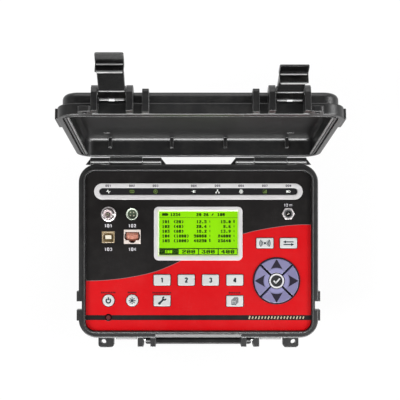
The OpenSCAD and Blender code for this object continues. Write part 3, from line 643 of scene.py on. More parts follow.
key_bars = [(-86.5, -40.2, 14), (-63.7, -40.2, 8.6), (-35, -40.4, 18.4), (35, -40.4, 11.6)]
bar_pitch, bar_long, bar_tall, first_tall = 1.55, 1.1, 1.5, 1.9
marks = []
for x, y, width in key_bars:
    count = round(width / bar_pitch)
    for i in range(count):
        left = x - width / 2 + i * width / count
        marks.append(bar(left, y, left + bar_long, y, bar_tall if i else first_tall))
print_marks("key_bars", marks, film_top, maroon_ink, "base")

slant_count, slant_pitch, slant_width, slant_lean = 18, 3.05, 1.15, 0.35
slants_x, slants_y = 75.1, stripe_middle / mm
marks = []
for i in range(slant_count):
    x = slants_x + (i - (slant_count - 1) / 2) * slant_pitch
    reach = 1.15 if i % 3 else 1.45
    lean = slant_lean * reach
    marks.append(bar(x - lean, slants_y - reach, x + lean, slants_y + reach, slant_width))
sand_ink = ink("sand_ink", paint("#cfc3a2"))
print_marks("stripe_bars", marks, film_top, sand_ink, "base")

# Bezels
# Pale grey moulded frames glued on the film round the status strip and the display.
# Each has rounded edges, and slopes down to its window on the inside. The display lights its own
# bezel's inner slope green.
def middle_of(name):
    """The middle of a CAD node, seen from above."""
    low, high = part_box(name)
    return np.array([(low.x + high.x) / 2, (low.y + high.y) / 2])


def rounded(width, depth, radius, inset=0.0, steps=10):
    """A rectangle with round corners, drawn in by an inset: four quarter circles joined by straight sides."""
    radius = max(radius - inset, 0.02 * mm)
    turn = np.linspace(0, np.pi / 2, steps)
    corners = []
    for quarter, (sx, sy) in enumerate(((1, 1), (-1, 1), (-1, -1), (1, -1))):
        angle = turn + quarter * np.pi / 2
        corners.append(np.column_stack([sx * (width / 2 - inset - radius) + radius * np.cos(angle),
                                        sy * (depth / 2 - inset - radius) + radius * np.sin(angle)]))
    return np.concatenate(corners)


def framed(outer, inner, section):
    """A closed frame. Each point of its section is a share of the way to the inner outline, and a height."""
    return skin([at_height(outer + (inner - outer) * share, z) for share, z in section], wrap=True)


def frame_section(low, top, sill, width, fillet, slope=0.76):
    """Up the outside, round the edge, across the top, then down a slope to the window's edge."""
    turn = np.linspace(0, np.pi / 2, 5)
    corner = [((fillet - fillet * math.cos(t)) / width, top - fillet + fillet * math.sin(t)) for t in turn]
    return [(0, low), *corner, (slope, top), (slope + 0.03, top - 0.05 * mm), (0.98, sill + 0.05 * mm),
            (1, sill), (1, low)]


bezel_grey = moulded("bezel_grey", paint("#e4e2e3"), paint("#f4f4f4"), roughness=0.34, gloss=0.45,
                     pitch=0.3 * mm, depth=0.01 * mm, edge=0.3 * mm, dusty=0.1)
low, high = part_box("status_bezel")
window_low, window_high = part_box("status_window")
middle = middle_of("status_bezel")
window_gap = 0.6 * mm
bezel_depth = high.y - low.y - 0.4 * mm
outer = rounded(high.x - low.x, bezel_depth, bezel_depth / 2 - 0.02 * mm, steps=24) + middle
slot_width, slot_depth = window_high.x - window_low.x + window_gap, window_high.y - window_low.y + window_gap
inner = rounded(slot_width, slot_depth, slot_depth / 2 - 0.02 * mm, steps=24) + middle
section = frame_section(low.z, high.z, window_high.z + 0.25 * mm, 4.4 * mm, 0.5 * mm, slope=0.86)
piece("status_bezel_frame", [framed(outer, inner, section)], bezel_grey, "base",
      ["status_bezel"])

low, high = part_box("display_bezel")
display_size = (75.5 * mm, 41.9 * mm)
display_middle = np.array([0, 17]) * mm
outer = rounded(high.x - low.x, high.y - low.y, 4.5 * mm) + middle_of("display_bezel")
inner = rounded(*display_size, 1 * mm) + display_middle
lit_bezel = bezel_grey.copy()
lit_bezel.name = "lit_bezel"
tree = lit_bezel.node_tree
place = put(tree, "SeparateXYZ", {0: put(tree, "TexCoord").outputs["Object"]}).outputs
beyond = []
for i, axis in enumerate("XY"):
    away = sums(tree, "ABSOLUTE", sums(tree, "SUBTRACT", place[axis], float(display_middle[i])))
    beyond.append(sums(tree, "SUBTRACT", away, display_size[i] / 2))
spill = span(tree, sums(tree, "MAXIMUM", *beyond), 0.9 * mm, 1.7 * mm, 0.75, 0)
base_colour = tree.nodes["Principled BSDF"].inputs["Base Color"]
plain = base_colour.links[0].from_socket
tree.links.new(mingle(tree, spill, plain, paint("#c4e07c")), base_colour)
section = frame_section(low.z, high.z, low.z + 0.3 * mm, 4.85 * mm, 0.45 * mm)
piece("display_bezel_frame", [framed(outer, inner, section)], lit_bezel, "base",
      ["display_bezel"])

# Status strip
# A smoked acrylic window, cut from sheet and let into its bezel, with a light behind each of its eight
# printed signs. Three of them are lit green. The bezel has a number over each sign.
smoked, tree, surface = finish_of("smoked_window", 0.16, gloss=0.45, coat=0.3)
textured = use(tree, grain, Pitch=3 * mm)
base = mingle(tree, textured["Tone"], paint("#1e1e20"), paint("#29292b"))
tree.links.new(base, surface.inputs["Base Color"])
scratched = use(tree, scuffs, Amount=0.3)["Mask"]
wiped = sums(tree, "ADD", span(tree, textured["Tone"], 0.3, 0.7, 0.12, 0.24), scratched)
tree.links.new(wiped, surface.inputs["Roughness"])
relief(tree, surface, textured["Height"], 0.02 * mm, strength=0.1)
dress(["status_window"], smoked)
led_body, tree, surface = finish_of("led_body", 0.3)
textured = use(tree, grain, Pitch=0.6 * mm)
base = mingle(tree, textured["Tone"], paint("#d8dcc8"), paint("#eef2dc"))
tree.links.new(base, surface.inputs["Base Color"])
dress(["status_leds"], led_body)

pulse = [bar(-1, 0, -0.5, 0, 0.26), bar(-0.52, -0.05, -0.2, 0.85, 0.26), bar(-0.22, 0.85, 0.2, -0.85, 0.26),
         bar(0.18, -0.85, 0.52, 0.05, 0.26), bar(0.5, 0, 1, 0, 0.26)]
link = [*ring(-0.5, 0, 0.55, 0.16), *ring(0.5, 0, 0.55, 0.16)]
target = [*ring(0, 0, 0.85, 0.16), disc(0, 0, 0.24)]
plug = [bar(-0.1, -0.6, -0.1, 0.6, 0.7), bar(0.25, 0.32, 0.9, 0.32, 0.2), bar(0.25, -0.32, 0.9, -0.32, 0.2),
        bar(-1.1, 0, -0.4, 0, 0.22)]
branches = [bar(-0.3, 0.7, 0.3, 0.7, 0.55), bar(-1, -0.6, -0.4, -0.6, 0.5), bar(0.4, -0.6, 1, -0.6, 0.5),
            bar(0, 0.5, 0, 0, 0.16), bar(-0.7, 0, 0.7, 0, 0.16), bar(-0.7, 0.05, -0.7, -0.4, 0.16),
            bar(0.7, 0.05, 0.7, -0.4, 0.16)]
globe = [*ring(0, 0, 0.85, 0.18), bar(0, -0.8, 0, 0.8, 0.14), bar(-0.8, 0, 0.8, 0, 0.14),
         arc(-0.75, 0, 1.1, 0.14, -42, 42), arc(0.75, 0, 1.1, 0.14, 138, 222)]
steps = [bar(x, -0.8, x, top, 0.2) for x, top in ((-0.75, -0.3), (-0.25, 0.1), (0.25, 0.5), (0.75, 0.9))]
cell = [bar(-1, 0.45, 0.8, 0.45, 0.16), bar(-1, -0.45, 0.8, -0.45, 0.16), bar(-0.95, -0.5, -0.95, 0.5, 0.16),
        bar(0.75, -0.5, 0.75, 0.5, 0.16), bar(0.82, 0, 1.05, 0, 0.4), bar(-0.8, 0, 0.1, 0, 0.6)]
status_signs = [pulse, link, target, plug, branches, globe, steps, cell]
status_places = [-86.7, -63.9, -41.2, -4.4, 18.4, 41.1, 63.9, 86.6]
status_line = 57.05
sign_size = 1.95
numbers_line, number_size = 62.6, 1.9
glow_radius, glow_thick = 2.5, 0.02 * mm
lit_signs = (1, 2, 6)
window_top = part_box("status_window")[1].z
pale_sign = ink("pale_sign", paint("#eceeea"), glow=0.3)
green_sign = ink("green_sign", paint("#7d9a50"), glow=0.2)
green_glow = ink("green_glow", paint("#232f12"), glow=0.1)
halos = [disc(status_places[i], status_line, glow_radius) for i in lit_signs]
print_marks("status_halos", halos, window_top, green_glow, "base", thick=glow_thick)
for name, finish, chosen in (("status_signs", pale_sign, [i for i in range(8) if i not in lit_signs]),
                             ("status_signs_lit", green_sign, lit_signs)):
    marks = []
    for i in chosen:
        marks += placed(status_signs[i], status_places[i], status_line, sign_size)
    print_marks(name, marks, window_top, finish, "base")
bezel_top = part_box("status_bezel")[1].z
marks = []
for i, x in enumerate(status_places):
    marks += numerals(f"{i + 1:03d}", x, numbers_line, number_size, wide=1.2)
print_marks("status_numbers", marks, bezel_top, dark_ink, "base")

# Display
# A backlit green dot display, glued under a clear window. It shows rows of plain numbers over four
# fields, one for each soft key, all built from its square dots.
dots_across, dots_down = 240, 128
dot_pitch = np.array([display_size[0] / dots_across, display_size[1] / dots_down])
display_corner = display_middle + np.array([-display_size[0], display_size[1]]) / 2
display_lit, tree, surface = finish_of("display_lit", 0.22, gloss=0.2)
place = put(tree, "TexCoord").outputs["Object"]
across = put(tree, "SeparateXYZ", {0: place}).outputs
gaps = []
for axis, pitch, start in (("X", dot_pitch[0], display_corner[0]), ("Y", dot_pitch[1], display_corner[1])):
    steps_in = sums(tree, "DIVIDE", sums(tree, "SUBTRACT", across[axis], float(start)), float(pitch))
    off = sums(tree, "ABSOLUTE", sums(tree, "SUBTRACT", sums(tree, "FRACT", steps_in), 0.5))
    gaps.append(span(tree, off, 0.38, 0.46))
lattice = sums(tree, "MAXIMUM", *gaps)
lamp_place = (*display_middle.tolist(), 85.5 * mm)
from_middle = put(tree, "VectorMath", {0: place, 1: lamp_place}, operation="DISTANCE").outputs["Value"]
lime = mingle(tree, span(tree, from_middle, 12 * mm, 42 * mm), paint("#8ee000"), paint("#86d600"))
lime = mingle(tree, sums(tree, "MULTIPLY", lattice, 0.3), lime, paint("#9aea10"))
tree.links.new(lime, surface.inputs["Base Color"])
tree.links.new(lime, surface.inputs["Emission Color"])
surface.inputs["Emission Strength"].default_value = 0.08
textured = use(tree, grain, Pitch=3 * mm)
uneven_gloss(tree, surface, textured["Tone"], 0.16, 0.28)
dress(["display_window"], display_lit)
dot_numerals = {
    "0": "01110 10001 10011 10101 11001 10001 01110", "1": "00100 01100 00100 00100 00100 00100 01110",
    "2": "01110 10001 00001 00110 01000 10000 11111", "3": "11111 00010 00100 00010 00001 10001 01110",
    "4": "00010 00110 01010 10010 11111 00010 00010", "5": "11111 10000 11110 00001 00001 10001 01110",
    "6": "00110 01000 10000 11110 10001 10001 01110", "7": "11111 00001 00010 00100 01000 01000 01000",
    "8": "01110 10001 10001 01110 10001 10001 01110", "9": "01110 10001 10001 01111 00001 00010 01100",
    ".": "00000 00000 00000 00000 00000 01100 01100", ":": "00000 01100 01100 00000 01100 01100 00000",
    "(": "00010 00100 01000 01000 01000 00100 00010", ")": "01000 00100 00010 00010 00010 00100 01000",
    "/": "00000 00001 00010 00100 01000 10000 00000", "-": "00000 00000 00000 11111 00000 00000 00000",
}
small_pitch, large_pitch = 8, 14


def dots_of(text, column, row, large=False):
    """The lit dots of a number. Each figure's dots are repeated to its size, then spread one dot down
    and two to the right."""
    lit = []
    for place, figure in enumerate(text):
        dots = np.array([[int(c) for c in line] for line in dot_numerals[figure].split()])
        if large:
            dots = np.repeat(dots, 2, 1)
        dots = np.repeat(dots, [1, 2, 1, 2, 1, 2, 1] if large else [1, 1, 1, 2, 1, 1, 1], 0)
        bold = np.zeros(np.array(dots.shape) + (1, 2), int)
        for down, right in np.ndindex(2, 3):
            bold[down:down + dots.shape[0], right:right + dots.shape[1]] |= dots
        down, right = np.nonzero(bold)
        start = column + place * (large_pitch if large else small_pitch)
        lit.append(np.column_stack([start + right, row + down]))
    return np.concatenate(lit)


def block(column, row, columns, rows):
    """Every dot of a filled rectangle on the display."""
    right, down = np.meshgrid(np.arange(columns), np.arange(rows))
    return np.column_stack([column + right.ravel(), row + down.ravel()])


def tiles(dots, low, high, fill=0.94):
    """A flat square tile for each dot, all worked out at once from its column and row."""
    dots = np.unique(dots, axis=0)
    middle = display_corner + (dots + 0.5) * dot_pitch * (1, -1)
    corner = np.array([[-1, -1], [1, -1], [1, 1], [-1, 1]]) * dot_pitch * fill / 2
    flat = middle[:, None, :] + corner[None, :, :]
    lower = np.concatenate([flat, np.full((*flat.shape[:2], 1), low)], -1)
    upper = np.concatenate([flat, np.full((*flat.shape[:2], 1), high)], -1)
    points = np.concatenate([lower, upper], 1).reshape(-1, 3)
    sides = [[0, 3, 2, 1], [4, 5, 6, 7], [0, 1, 5, 4], [1, 2, 6, 5], [2, 3, 7, 6], [3, 0, 4, 7]]
    faces = (np.arange(len(dots))[:, None, None] * 8 + np.array(sides)[None]).reshape(-1, 4)
    return [(points, faces.tolist())]


readings = [("12.5", "15.0"), ("20.4", "8.6"), ("18.2", "13.9"), ("50000", "24000"), ("48250", "23640")]
first_row, row_step = 26, 14
lit = [dots_of("1234", 34, 5), dots_of("20", 114, 5), dots_of("26", 136, 5), dots_of("/", 160, 5),
       dots_of("100", 178, 5), block(9, 5, 17, 8), block(26, 7, 2, 4), block(0, 18, 240, 1)]
for i, (left, right) in enumerate(readings):
    row = first_row + i * row_step
    lit += [dots_of(f"10{i + 1}", 9, row), dots_of(f"({20 * i + 20:02d})" if i < 3 else "(1000)", 44, row),
            dots_of(left, 146 - small_pitch * len(left), row),
            dots_of(right, 220 - small_pitch * len(right), row)]
    lit += [block(column, row + 1, 2, 6) for column in (154, 228)]
lit += [block(153, first_row + 4 * row_step - 1, 4, 9), block(227, first_row - 1, 4, 9)]
fields = ["100", "200", "300", "400"]
field_top, field_rows, field_width = 108, 20, 60
lit += [block(0, field_top, 240, 3), block(60, 126, 180, 2)]
lit += [block(field_width * i - 1, field_top, 3, field_rows) for i in (2, 3)]
lit.append(block(238, field_top, 2, field_rows))
for i, number in enumerate(fields[1:], 1):
    lit.append(dots_of(number, field_width * i + 10, field_top + 5, large=True))
inverted = block(0, field_top, field_width, field_rows)
cleared = dots_of(fields[0], 17, field_top + 6)
lit.append(inverted[~np.isin(inverted @ (1000, 1), cleared @ (1000, 1))])
display_dark = ink("display_dark", paint("#0c2403"), roughness=0.3)
display_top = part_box("display_window")[1].z
piece("display_dots", tiles(np.concatenate(lit), display_top - ink_sink, display_top + 0.02 * mm),
      display_dark, "base")

# Keys
# Silicone caps that come up through the plate and film, pale grey with rounded edges, each with a
# dark ring round it on the film and a plain sign or number on top.
key_gap = 1 * mm
key_corner = 1 * mm
key_crown = 0.04 * mm
frame_reach, frame_start = 0.62 * mm, 0.1 * mm


def cap(outline, levels):
    """A solid cap: rings of one outline, each drawn in by its own inset at its own height."""
    return [skin([at_height(outline(inset), z) for inset, z in levels])]


def key_outline(middle, width, depth, is_round):
    """The outline of one key for any inset: a circle, or a rectangle with small round corners."""
    if is_round:
        return lambda inset: disc(0, 0, width / 2 - inset, 72) + middle
    return lambda inset: rounded(width, depth, key_corner, inset) + middle


def cap_levels(low, top, reach, flange=key_gap, flange_thick=0.9 * mm, fillet=0.55 * mm, crown=key_crown):
    """Up the flange and the wall, round the edge by a quarter circle, then over a low crown."""
    turn = np.linspace(0, np.pi / 2, 7)
    edge_round = [(fillet - fillet * math.cos(t), top - fillet + fillet * math.sin(t)) for t in turn]
    inward = np.linspace(0.2, 1, 5)
    dome = [(fillet + (reach - fillet) * s, top + crown * (1 - (1 - s) ** 2)) for s in inward]
    foot = [(-flange, low), (-flange, low + flange_thick), (0, low + flange_thick)] if flange else [(0, low)]
    return [*foot, *edge_round, *dome]


# The white edge colour on the keys is partly wear and partly painted highlight.
key_rubber = moulded("key_rubber", paint("#dcdedd"), paint("#ffffff"), roughness=0.4, gloss=0.4,
                     pitch=0.25 * mm, depth=0.012 * mm, edge=0.9 * mm, dusty=0.08)
key_ink = ink("key_ink", paint("#22303a"), roughness=0.5)
opposed = [bar(-0.9, 0.42, 1.6, 0.42, 0.34), np.array([[-1.8, 0.42], [-0.8, -0.06], [-0.8, 0.9]]),
           bar(-1.6, -0.42, 0.9, -0.42, 0.34), np.array([[1.8, -0.42], [0.8, 0.06], [0.8, -0.9]])]
waves = [disc(0, 0, 0.42), *(arc(0, 0, r, 0.3, a - 42, a + 42) for a in (0, 180) for r in (0.86, 1.36, 1.84))]
spanner = [bar(-0.75, -0.75, 0.45, 0.45, 0.6), arc(0.72, 0.72, 0.44, 0.5, 95, 355), disc(-0.78, -0.78, 0.42)]
sheet_edges = [(-0.8, -0.95), (0.3, -0.95), (0.3, 0.4), (-0.8, 0.4)]
sheets = []
for shift in (0, 0.26, 0.52):
    corners = [(x + shift, y + shift) for x, y in sheet_edges]
    drawn = range(4) if shift == 0 else (1, 2)
    sheets += [bar(*corners[i], *corners[(i + 1) % 4], 0.19) for i in drawn]
sheets += [bar(-0.62, y, 0.12, y, 0.2) for y in (-0.65, -0.28, 0.1)]
power_sign = [arc(0, -0.05, 0.78, 0.52, 125, 415), bar(0, 0.15, 0, 1.2, 0.5)]
sun_rays = np.radians(np.arange(0, 360, 45))
sun = [disc(0, 0, 0.6)]
for a in sun_rays:
    sun.append(bar(0.72 * np.cos(a), 0.72 * np.sin(a), 1.25 * np.cos(a), 1.25 * np.sin(a), 0.36))
key_signs = {
    **{f"soft_key_{n}": (numerals(str(n), 0, 0, 1, stroke=0.3), 4.4) for n in (1, 2, 3, 4)},
    "tools_key": (spanner, 3.1), "pages_key": (sheets, 3.6), "waves_key": (waves, 2.7),
    "mode_key": (opposed, 3), "power_key": (power_sign, 2.7), "light_key": (sun, 2.6),
}
frame_levels = [(0, film_top - ink_sink), (0, film_top + ink_height), (1, film_top + ink_height),
                (1, film_top - ink_sink)]
frames = []
for name, (sign, sign_size) in key_signs.items():
    low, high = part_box(name)
    middle = middle_of(name)
    width, depth = high.x - low.x - 2 * key_gap, high.y - low.y - 2 * key_gap
    outline = key_outline(middle, width, depth, name in ("power_key", "light_key"))
    levels = cap_levels(low.z, high.z, min(width, depth) / 2 - 0.6 * mm)
    piece(name + "_cap", cap(outline, levels), key_rubber, name, [name])
    print_marks(name + "_sign", placed(sign, 0, 0, sign_size), high.z, key_ink, name,
                thick=key_crown + ink_height, middle=middle)
    frames.append(framed(outline(-frame_reach), outline(-frame_start), frame_levels))
# A thin dark ring on the film round each key.
piece("key_frames", frames, ink("frame_ink", paint("#3a1218")), "base")

# Direction pad
# Four lavender silicone quarters round a black centre key, inside a dark moulded ring. A paler band
# runs next to the centre. Each quarter has a dark arrowhead, the centre a pale ring and a plain tick.
pad_middle = np.array([75.1, -28.8]) * mm
quarter_inner, quarter_outer, slit = 7.8 * mm, 21.3 * mm, 1.9 * mm
band_radius = 11.7 * mm
arrow_tip, arrow_blunt, arrow_base = 20.5, 0.35, 12.5


def quarter(inset, turn, steps=20):
    """Between two arcs and two straight sides, which lie half a slit off the diagonals."""
    small, large = quarter_inner + inset, quarter_outer - inset
    wide = np.pi / 4 - math.asin((slit / 2 + inset) / large)
    narrow = np.pi / 4 - math.asin((slit / 2 + inset) / small)
    out = np.pi / 2 + turn + np.linspace(-wide, wide, steps)
    home = np.pi / 2 + turn + np.linspace(narrow, -narrow, steps)
    return np.concatenate([np.column_stack([np.cos(out), np.sin(out)]) * large,
                           np.column_stack([np.cos(home), np.sin(home)]) * small]) + pad_middle


def away_from(tree, middle):
    """How far a place on the surface is from an upright axis."""
    place = put(tree, "TexCoord").outputs["Object"]
    flat_place = put(tree, "VectorMath", {0: place, 1: (1, 1, 0)}, operation="MULTIPLY").outputs[0]
    foot = (*middle.tolist(), 0)
    return put(tree, "VectorMath", {0: flat_place, 1: foot}, operation="DISTANCE").outputs["Value"]


lavender, tree, surface = finish_of("key_lavender", 0.4, gloss=0.4)
radius = away_from(tree, pad_middle)
textured = use(tree, grain, Pitch=0.25 * mm)
rub_and_sheen = use(tree, edges, Width=0.3 * mm)
base = mingle(tree, span(tree, textured["Tone"], 0.3, 0.7), paint("#77739c"), paint("#827ea8"))
in_band = span(tree, radius, band_radius + 0.1 * mm, band_radius - 0.1 * mm)
base = mingle(tree, in_band, base, paint("#8c89b6"))
from_band = sums(tree, "ABSOLUTE", sums(tree, "SUBTRACT", radius, band_radius))
rim_line = span(tree, from_band, 0.28 * mm, 0.16 * mm)
base = mingle(tree, sums(tree, "MULTIPLY", rim_line, 0.6), base, paint("#6c6c96"))
base = mingle(tree, sums(tree, "MULTIPLY", rub_and_sheen["Mask"], 0.4), base, paint("#b9b9d8"))
tree.links.new(base, surface.inputs["Base Color"])
uneven_gloss(tree, surface, textured["Tone"], 0.34, 0.48)
relief(tree, surface, textured["Height"], 0.012 * mm, over=rub_and_sheen["Normal"])
ring_dark = moulded("ring_dark", paint("#160a1c"), paint("#2c1830"), gloss=0.15, pitch=0.3 * mm,
                    edge=0.3 * mm, dusty=0.02)
dress(["arrow_key_ring"], ring_dark)
arrow_ink = ink("arrow_ink", paint("#1c1429"), roughness=0.45)
hollow = np.radians(np.linspace(118, 62, 11))
arrowhead = np.concatenate([[[arrow_blunt, arrow_tip], [-arrow_blunt, arrow_tip]],
                            arrow_base * np.column_stack([np.cos(hollow), np.sin(hollow)])])
for name, turn in (("up_key", 0), ("left_key", 90), ("down_key", 180), ("right_key", 270)):
    low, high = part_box(name)
    angle = math.radians(turn)
    levels = cap_levels(low.z, high.z, 3.4 * mm, flange=0, fillet=0.5 * mm, crown=0)
    piece(name + "_cap", cap(lambda inset, angle=angle: quarter(inset, angle), levels),
          lavender, name, [name])
    turning = np.array([[math.cos(angle), math.sin(angle)], [-math.sin(angle), math.cos(angle)]])
    turned = arrowhead @ turning
    print_marks(name + "_arrow", [turned], high.z, arrow_ink, name, middle=pad_middle)
low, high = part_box("centre_key")
centre_radius = (high.x - low.x) / 2
centre_black = moulded("centre_black", paint("#1b1b1d"), paint("#4a4a4c"), roughness=0.34, pitch=0.25 * mm,
                       depth=0.01 * mm, edge=0.3 * mm, dusty=0.05)
piece("centre_key_cap", cap(lambda inset: disc(*pad_middle, centre_radius - inset, 72),
                            cap_levels(low.z, high.z, 6.5 * mm, flange=0, crown=0)),
      centre_black, "centre_key", ["centre_key"])
tick = [bar(-2.9, 0.2, -0.6, -2.2, 1.4), bar(-1.05, -2.3, 3.1, 2.3, 1.4)]
centre_ink = ink("centre_ink", paint("#e4e3e6"))
print_marks("centre_key_sign", ring(0, 0, 6.35, 1.55) + tick, high.z, centre_ink, "centre_key",
            middle=pad_middle)

# Line sockets
# Two turned bodies, nickel plated and set in the film: one with two bayonet lugs and a dark brown ring
# round its inner shell as painted shade, and one round with four pins in a green insert. Their contacts
# are paler metal.
def turned_body(x, y, base, section, wrap=False, steps=72):
    """A section of radius and height in millimetres, carried round an upright axis."""
    return skin([at_height(disc(x, y, radius * mm, steps), base + z * mm) for radius, z in section], wrap)


contact_metal = plated("gold_contact", paint("#b9b29c"), 0.35)
dress(["bayonet_contact", "round_socket_pins"], contact_metal)
x, y = middle_of("bayonet_shell")
section = [(5.5, -21), (5.5, 0), (7.1, 0), (7.3, 0.2), (7.3, 0.5), (7.0, 1.05), (6.5, 1.5), (6.0, 1.75),
           (5.75, 1.75), (5.6, 1.2), (4.95, 1.1), (4.75, 1.4), (4.75, 3.3), (4.5, 3.5), (4.5, 4.4),
           (4.8, 4.7), (4.8, 10.6), (4.5, 11.3), (4.25, 11.5), (4.1, 11.3), (4.08, 10.9), (4.08, 1.1),
           (1.4, 1.05)]
shell = turned_body(x, y, film_top, section)
lug_steps, lug_height = 20, 6.6 * mm
lug_turn = np.linspace(0, 2 * np.pi, lug_steps, endpoint=False)
lugs = []
for side in (-1, 1):
    circle = np.column_stack([np.zeros(lug_steps), np.cos(lug_turn), side * np.sin(lug_turn)])
    rows = [circle * r * mm + (x + side * reach * mm, y, film_top + lug_height)
            for reach, r in ((4.4, 0.95), (5.45, 0.95), (5.68, 0.75))]
    lugs.append(skin(rows))
satin_nickel = plated("satin_nickel", paint("#d8d2d3"), 0.36)
satin_nickel.node_tree.nodes["Principled BSDF"].inputs["Metallic"].default_value = 0.55
piece("bayonet_body", [shell, *lugs], satin_nickel, "base", ["bayonet_shell"])
# A dark brown raised ring round the inner shell: painted shade round the shell.
washer_brown = moulded("washer_brown", paint("#3c2c2a"), paint("#6a5a58"), pitch=0.3 * mm)
shade_ring = turned_body(x, y, film_top, [(4.85, 1), (6.0, 1), (6.0, 1.95), (4.85, 2.1)], wrap=True)
piece("bayonet_washer", [shade_ring], washer_brown, "base")
insulator_rose = moulded("insulator_rose", paint("#dccccd"), paint("#f6eeee"), roughness=0.4, pitch=0.3 * mm,
                         edge=0.3 * mm, dusty=0.05)
dress(["bayonet_insulator"], insulator_rose)

x, y = middle_of("round_socket_shell")
section = [(4.9, -14), (4.9, 0), (5.6, 0), (5.75, 0.15), (5.75, 1.0), (5.5, 1.45), (5.2, 1.5), (4.95, 1.2),
           (4.9, 0.7), (4.35, 0.6), (4.3, 0.3), (4.3, -6), (4.0, -6.05)]
round_ring = plated("round_socket_nickel", paint("#8e968a"), 0.55)
piece("round_socket_ring", [turned_body(x, y, film_top, section)], round_ring, "base",
      ["round_socket_shell"])
insert_green = moulded("insert_green", paint("#52604f"), paint("#8a9a8c"), roughness=0.45, pitch=0.3 * mm,
                       edge=0.2 * mm, dusty=0.1)
dress(["round_socket_insert"], insert_green)

# Power jack
# A black moulded sleeve with a centre pin, held in the film by a hexagonal nut of plated brass.
# The nut's corners point left and right.
def hexagon(flats, steps=72):
    """A hexagon by angle: half its width across flats over the cosine of the angle from the nearest flat."""
    turn = np.linspace(0, 2 * np.pi, steps, endpoint=False)
    from_flat = turn % (np.pi / 3) - np.pi / 6
    reach = flats / 2 / np.cos(from_flat)
    return np.column_stack([reach * np.cos(turn), reach * np.sin(turn)])


low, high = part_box("power_jack_nut")
flats = high.x - low.x
hole = disc(0, 0, 3.95 * mm, 72)
nut = hexagon(flats)
chamfer = np.minimum(1.0, (flats / 2 + 0.1 * mm) / np.hypot(*nut.T))[:, None]
thick = high.z - low.z
rows = [(nut, 0), (nut, thick - 0.45 * mm), (nut * chamfer, thick), (hole * 1.12, thick),
        (hole, thick - 0.3 * mm), (hole, 0)]
rows = [(outline + middle_of("power_jack_nut"), z) for outline, z in rows]
piece("power_jack_hex", [skin([at_height(o, low.z + z) for o, z in rows], wrap=True)],
      satin_nickel, "base", ["power_jack_nut"])
nickel = plated("nickel", paint("#cfcdc8"), 0.24)
dress(["power_jack_pin"], nickel)
jack_dark = moulded("jack_dark", paint("#59595b"), paint("#8a8a8a"), roughness=0.35, pitch=0.3 * mm,
                    dusty=0.05)
dress(["power_jack_sleeve"], jack_dark)

# Network socket
# A white moulded housing with a stepped mouth, two curved slots at its sides and eight springy copper
# contacts, each bent from wire over the mouth. The slots are painted shade as dark arcs on top, and a
# dark brown plate low in the mouth is painted shade of its depth.
socket_white = moulded("socket_white", paint("#f4e6dd"), paint("#ffffff"), roughness=0.38, pitch=0.3 * mm,
                       edge=0.25 * mm, dusty=0.08)
dress(["network_socket"], socket_white)
copper = plated("copper_contact", paint("#a86650"), 0.5)
copper.node_tree.nodes["Principled BSDF"].inputs["Metallic"].default_value = 0.35
low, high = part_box("network_socket")
x, y = middle_of("network_socket")
wire_line = np.array([[4.3, -3.0], [3.9, -2.2], [3.2, -1.8], [1.2, -1.7], [-1.8, -2.2], [-4.2, -4.4]]) * mm
wire_half, wire_thick, wire_pitch = 0.62 * mm, 0.3 * mm, 1.44 * mm
corner_x = np.array([1, 1, -1, -1]) * wire_half
corner_z = np.array([-1, 0, 0, -1]) * wire_thick
wire_y, wire_z = wire_line[:, :1] + y, wire_line[:, 1:] + high.z
wires = []
for i in range(8):
    middle = x + (i - 3.5) * wire_pitch
    wires.append(skin(np.stack(np.broadcast_arrays(middle + corner_x, wire_y, wire_z + corner_z), -1)))
piece("network_wires", wires, copper, "base", ["network_contacts"])
# Painted shade: a dark brown plate low in the mouth, and two dark arcs over the slots.
cavity = np.array([[-6.6, -3.3], [-3.25, -3.3], [-3.25, -4.8], [-2.15, -4.8], [-2.15, -5.9], [2.15, -5.9],
                   [2.15, -4.8], [3.25, -4.8], [3.25, -3.3], [6.6, -3.3], [6.6, 4.5], [-6.6, 4.5]]) * mm
cavity_brown = ink("cavity_brown", paint("#3a1a12"), roughness=0.6)
cavity_shade = prisms([cavity + (x, y)], high.z - 6 * mm, high.z - 5.4 * mm)
piece("network_cavity", cavity_shade, cavity_brown, "base")
slots = [arc(1.7, 0.2, 5.5, 0.8, -26, 26), arc(-1.7, 0.2, 5.5, 0.8, 154, 206)]
print_marks("network_side_slots", slots, high.z, cavity_brown, "base", thick=0.03 * mm,
            middle=(x, y))

# Square socket
# A shell folded from plated brass sheet round a moulded white tongue, with a dull brown floor between
# them a little below the mouth, coloured as darker brass: painted shade of the socket's depth.
brass = plated("socket_brass", paint("#8a7858"), 0.5)
brass.node_tree.nodes["Principled BSDF"].inputs["Metallic"].default_value = 0.5
dress(["square_socket_shell"], brass)
insulator = moulded("insulator_white", paint("#fbf4e0"), paint("#ffffff"), roughness=0.4, pitch=0.3 * mm,
                    edge=0.2 * mm, dusty=0.05)
dress(["square_socket_tongue"], insulator)
shell_wall, tongue_gap = 1.2 * mm, 0.3 * mm


def corners_of(low, high, outward):
    """The four corners of a node seen from above, moved outwards."""
    left, right, front, back = low.x - outward, high.x + outward, low.y - outward, high.y + outward
    return np.array([[left, front], [right, front], [right, back], [left, back]])


low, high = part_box("square_socket_shell")
floor_high = high.z - 2.6 * mm
section = [(0, floor_high - 1 * mm), (0, floor_high), (1, floor_high - 0.8 * mm), (1, floor_high - 1.8 * mm)]
shade_floor = framed(corners_of(low, high, -shell_wall),
                      corners_of(*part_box("square_socket_tongue"), tongue_gap), section)
# The brown floor is painted shade of the socket's depth.
socket_brown = ink("socket_brown", paint("#7a6846"), roughness=0.5)
piece("square_socket_floor", [shade_floor], socket_brown, "base")

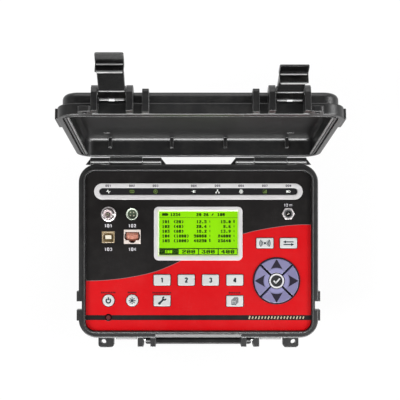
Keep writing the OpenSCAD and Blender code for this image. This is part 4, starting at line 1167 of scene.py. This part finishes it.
# Sensor lens
# A round red lens of polycarbonate pressed into the dark stripe: a flat dark collar with a low dome in
# the middle.
lens_radius = 2.0
x, y = middle_of("sensor_lens")
lens_turn = np.linspace(0, np.pi / 2, 7)
section = [(1.85, -3.2), (1.85, 0.02), (3.55, 0.02), (3.5, 0.2), (3.3, 0.3), (2.3, 0.3), (2.1, 0.2)]
section += [(lens_radius * math.cos(t) + 0.02, 0.2 + 0.12 * math.sin(t)) for t in lens_turn]
sensor_red, tree, surface = finish_of("sensor_red", 0.4, gloss=0.08)
radius = away_from(tree, middle_of("sensor_lens"))
textured = use(tree, grain, Pitch=0.4 * mm)
inner_colour = mingle(tree, textured["Tone"], paint("#5a2a2e"), paint("#6e3a3c"))
on_collar = span(tree, radius, lens_radius * mm, (lens_radius + 0.15) * mm)
tree.links.new(mingle(tree, on_collar, inner_colour, paint("#24090c")), surface.inputs["Base Color"])
uneven_gloss(tree, surface, textured["Tone"], 0.15, 0.28)
piece("sensor_dome", [turned_body(x, y, film_top, section, steps=48)],
      sensor_red, "base", ["sensor_lens"])

# Inside
# What the case holds under the panel: keypad mat, display module, circuit board with its parts, and
# the wrapped battery in its tray.
mat_silicone = moulded("mat_silicone", paint("#5a5d61"), paint("#7d8084"), roughness=0.55, pitch=0.5 * mm)
dress(["keypad_mat"], mat_silicone)
module_dark = moulded("module_dark", paint("#39453a"), paint("#5f6e60"), roughness=0.5, pitch=0.6 * mm)
dress(["display_module"], module_dark)
chip_black = moulded("chip_black", paint("#26272a"), paint("#55565a"), roughness=0.5, pitch=0.2 * mm)
dress(["board_parts"], chip_black)
tray_plastic = moulded("tray_plastic", paint("#47484b"), paint("#77787a"), roughness=0.45)
dress(["battery_tray"], tray_plastic)
battery_wrap = moulded("battery_wrap", paint("#2c5f9e"), paint("#5f8cc4"), roughness=0.25, gloss=0.5,
                       pitch=4 * mm, depth=0.15 * mm)
dress(["battery_pack"], battery_wrap)
board_green, tree, surface = finish_of("board_green", 0.35)
place = put(tree, "TexCoord").outputs["Object"]
tracks = put(tree, "TexBrick", {"Vector": place, "Scale": 90.0, "Color1": paint("#1b5c33"),
                                "Color2": paint("#1f6b3a"), "Mortar": paint("#3f8f52"), "Mortar Size": 0.03},
             offset=0.37).outputs["Color"]
textured = use(tree, grain, Pitch=0.5 * mm)
base = mingle(tree, span(tree, textured["Tone"], 0.3, 0.7, 0, 0.3), tracks, paint("#124524"))
tree.links.new(base, surface.inputs["Base Color"])
uneven_gloss(tree, surface, textured["Tone"], 0.28, 0.42)
relief(tree, surface, textured["Height"], 0.03 * mm)
dress(["main_board"], board_green)
dress(["board_standoffs"], nickel)
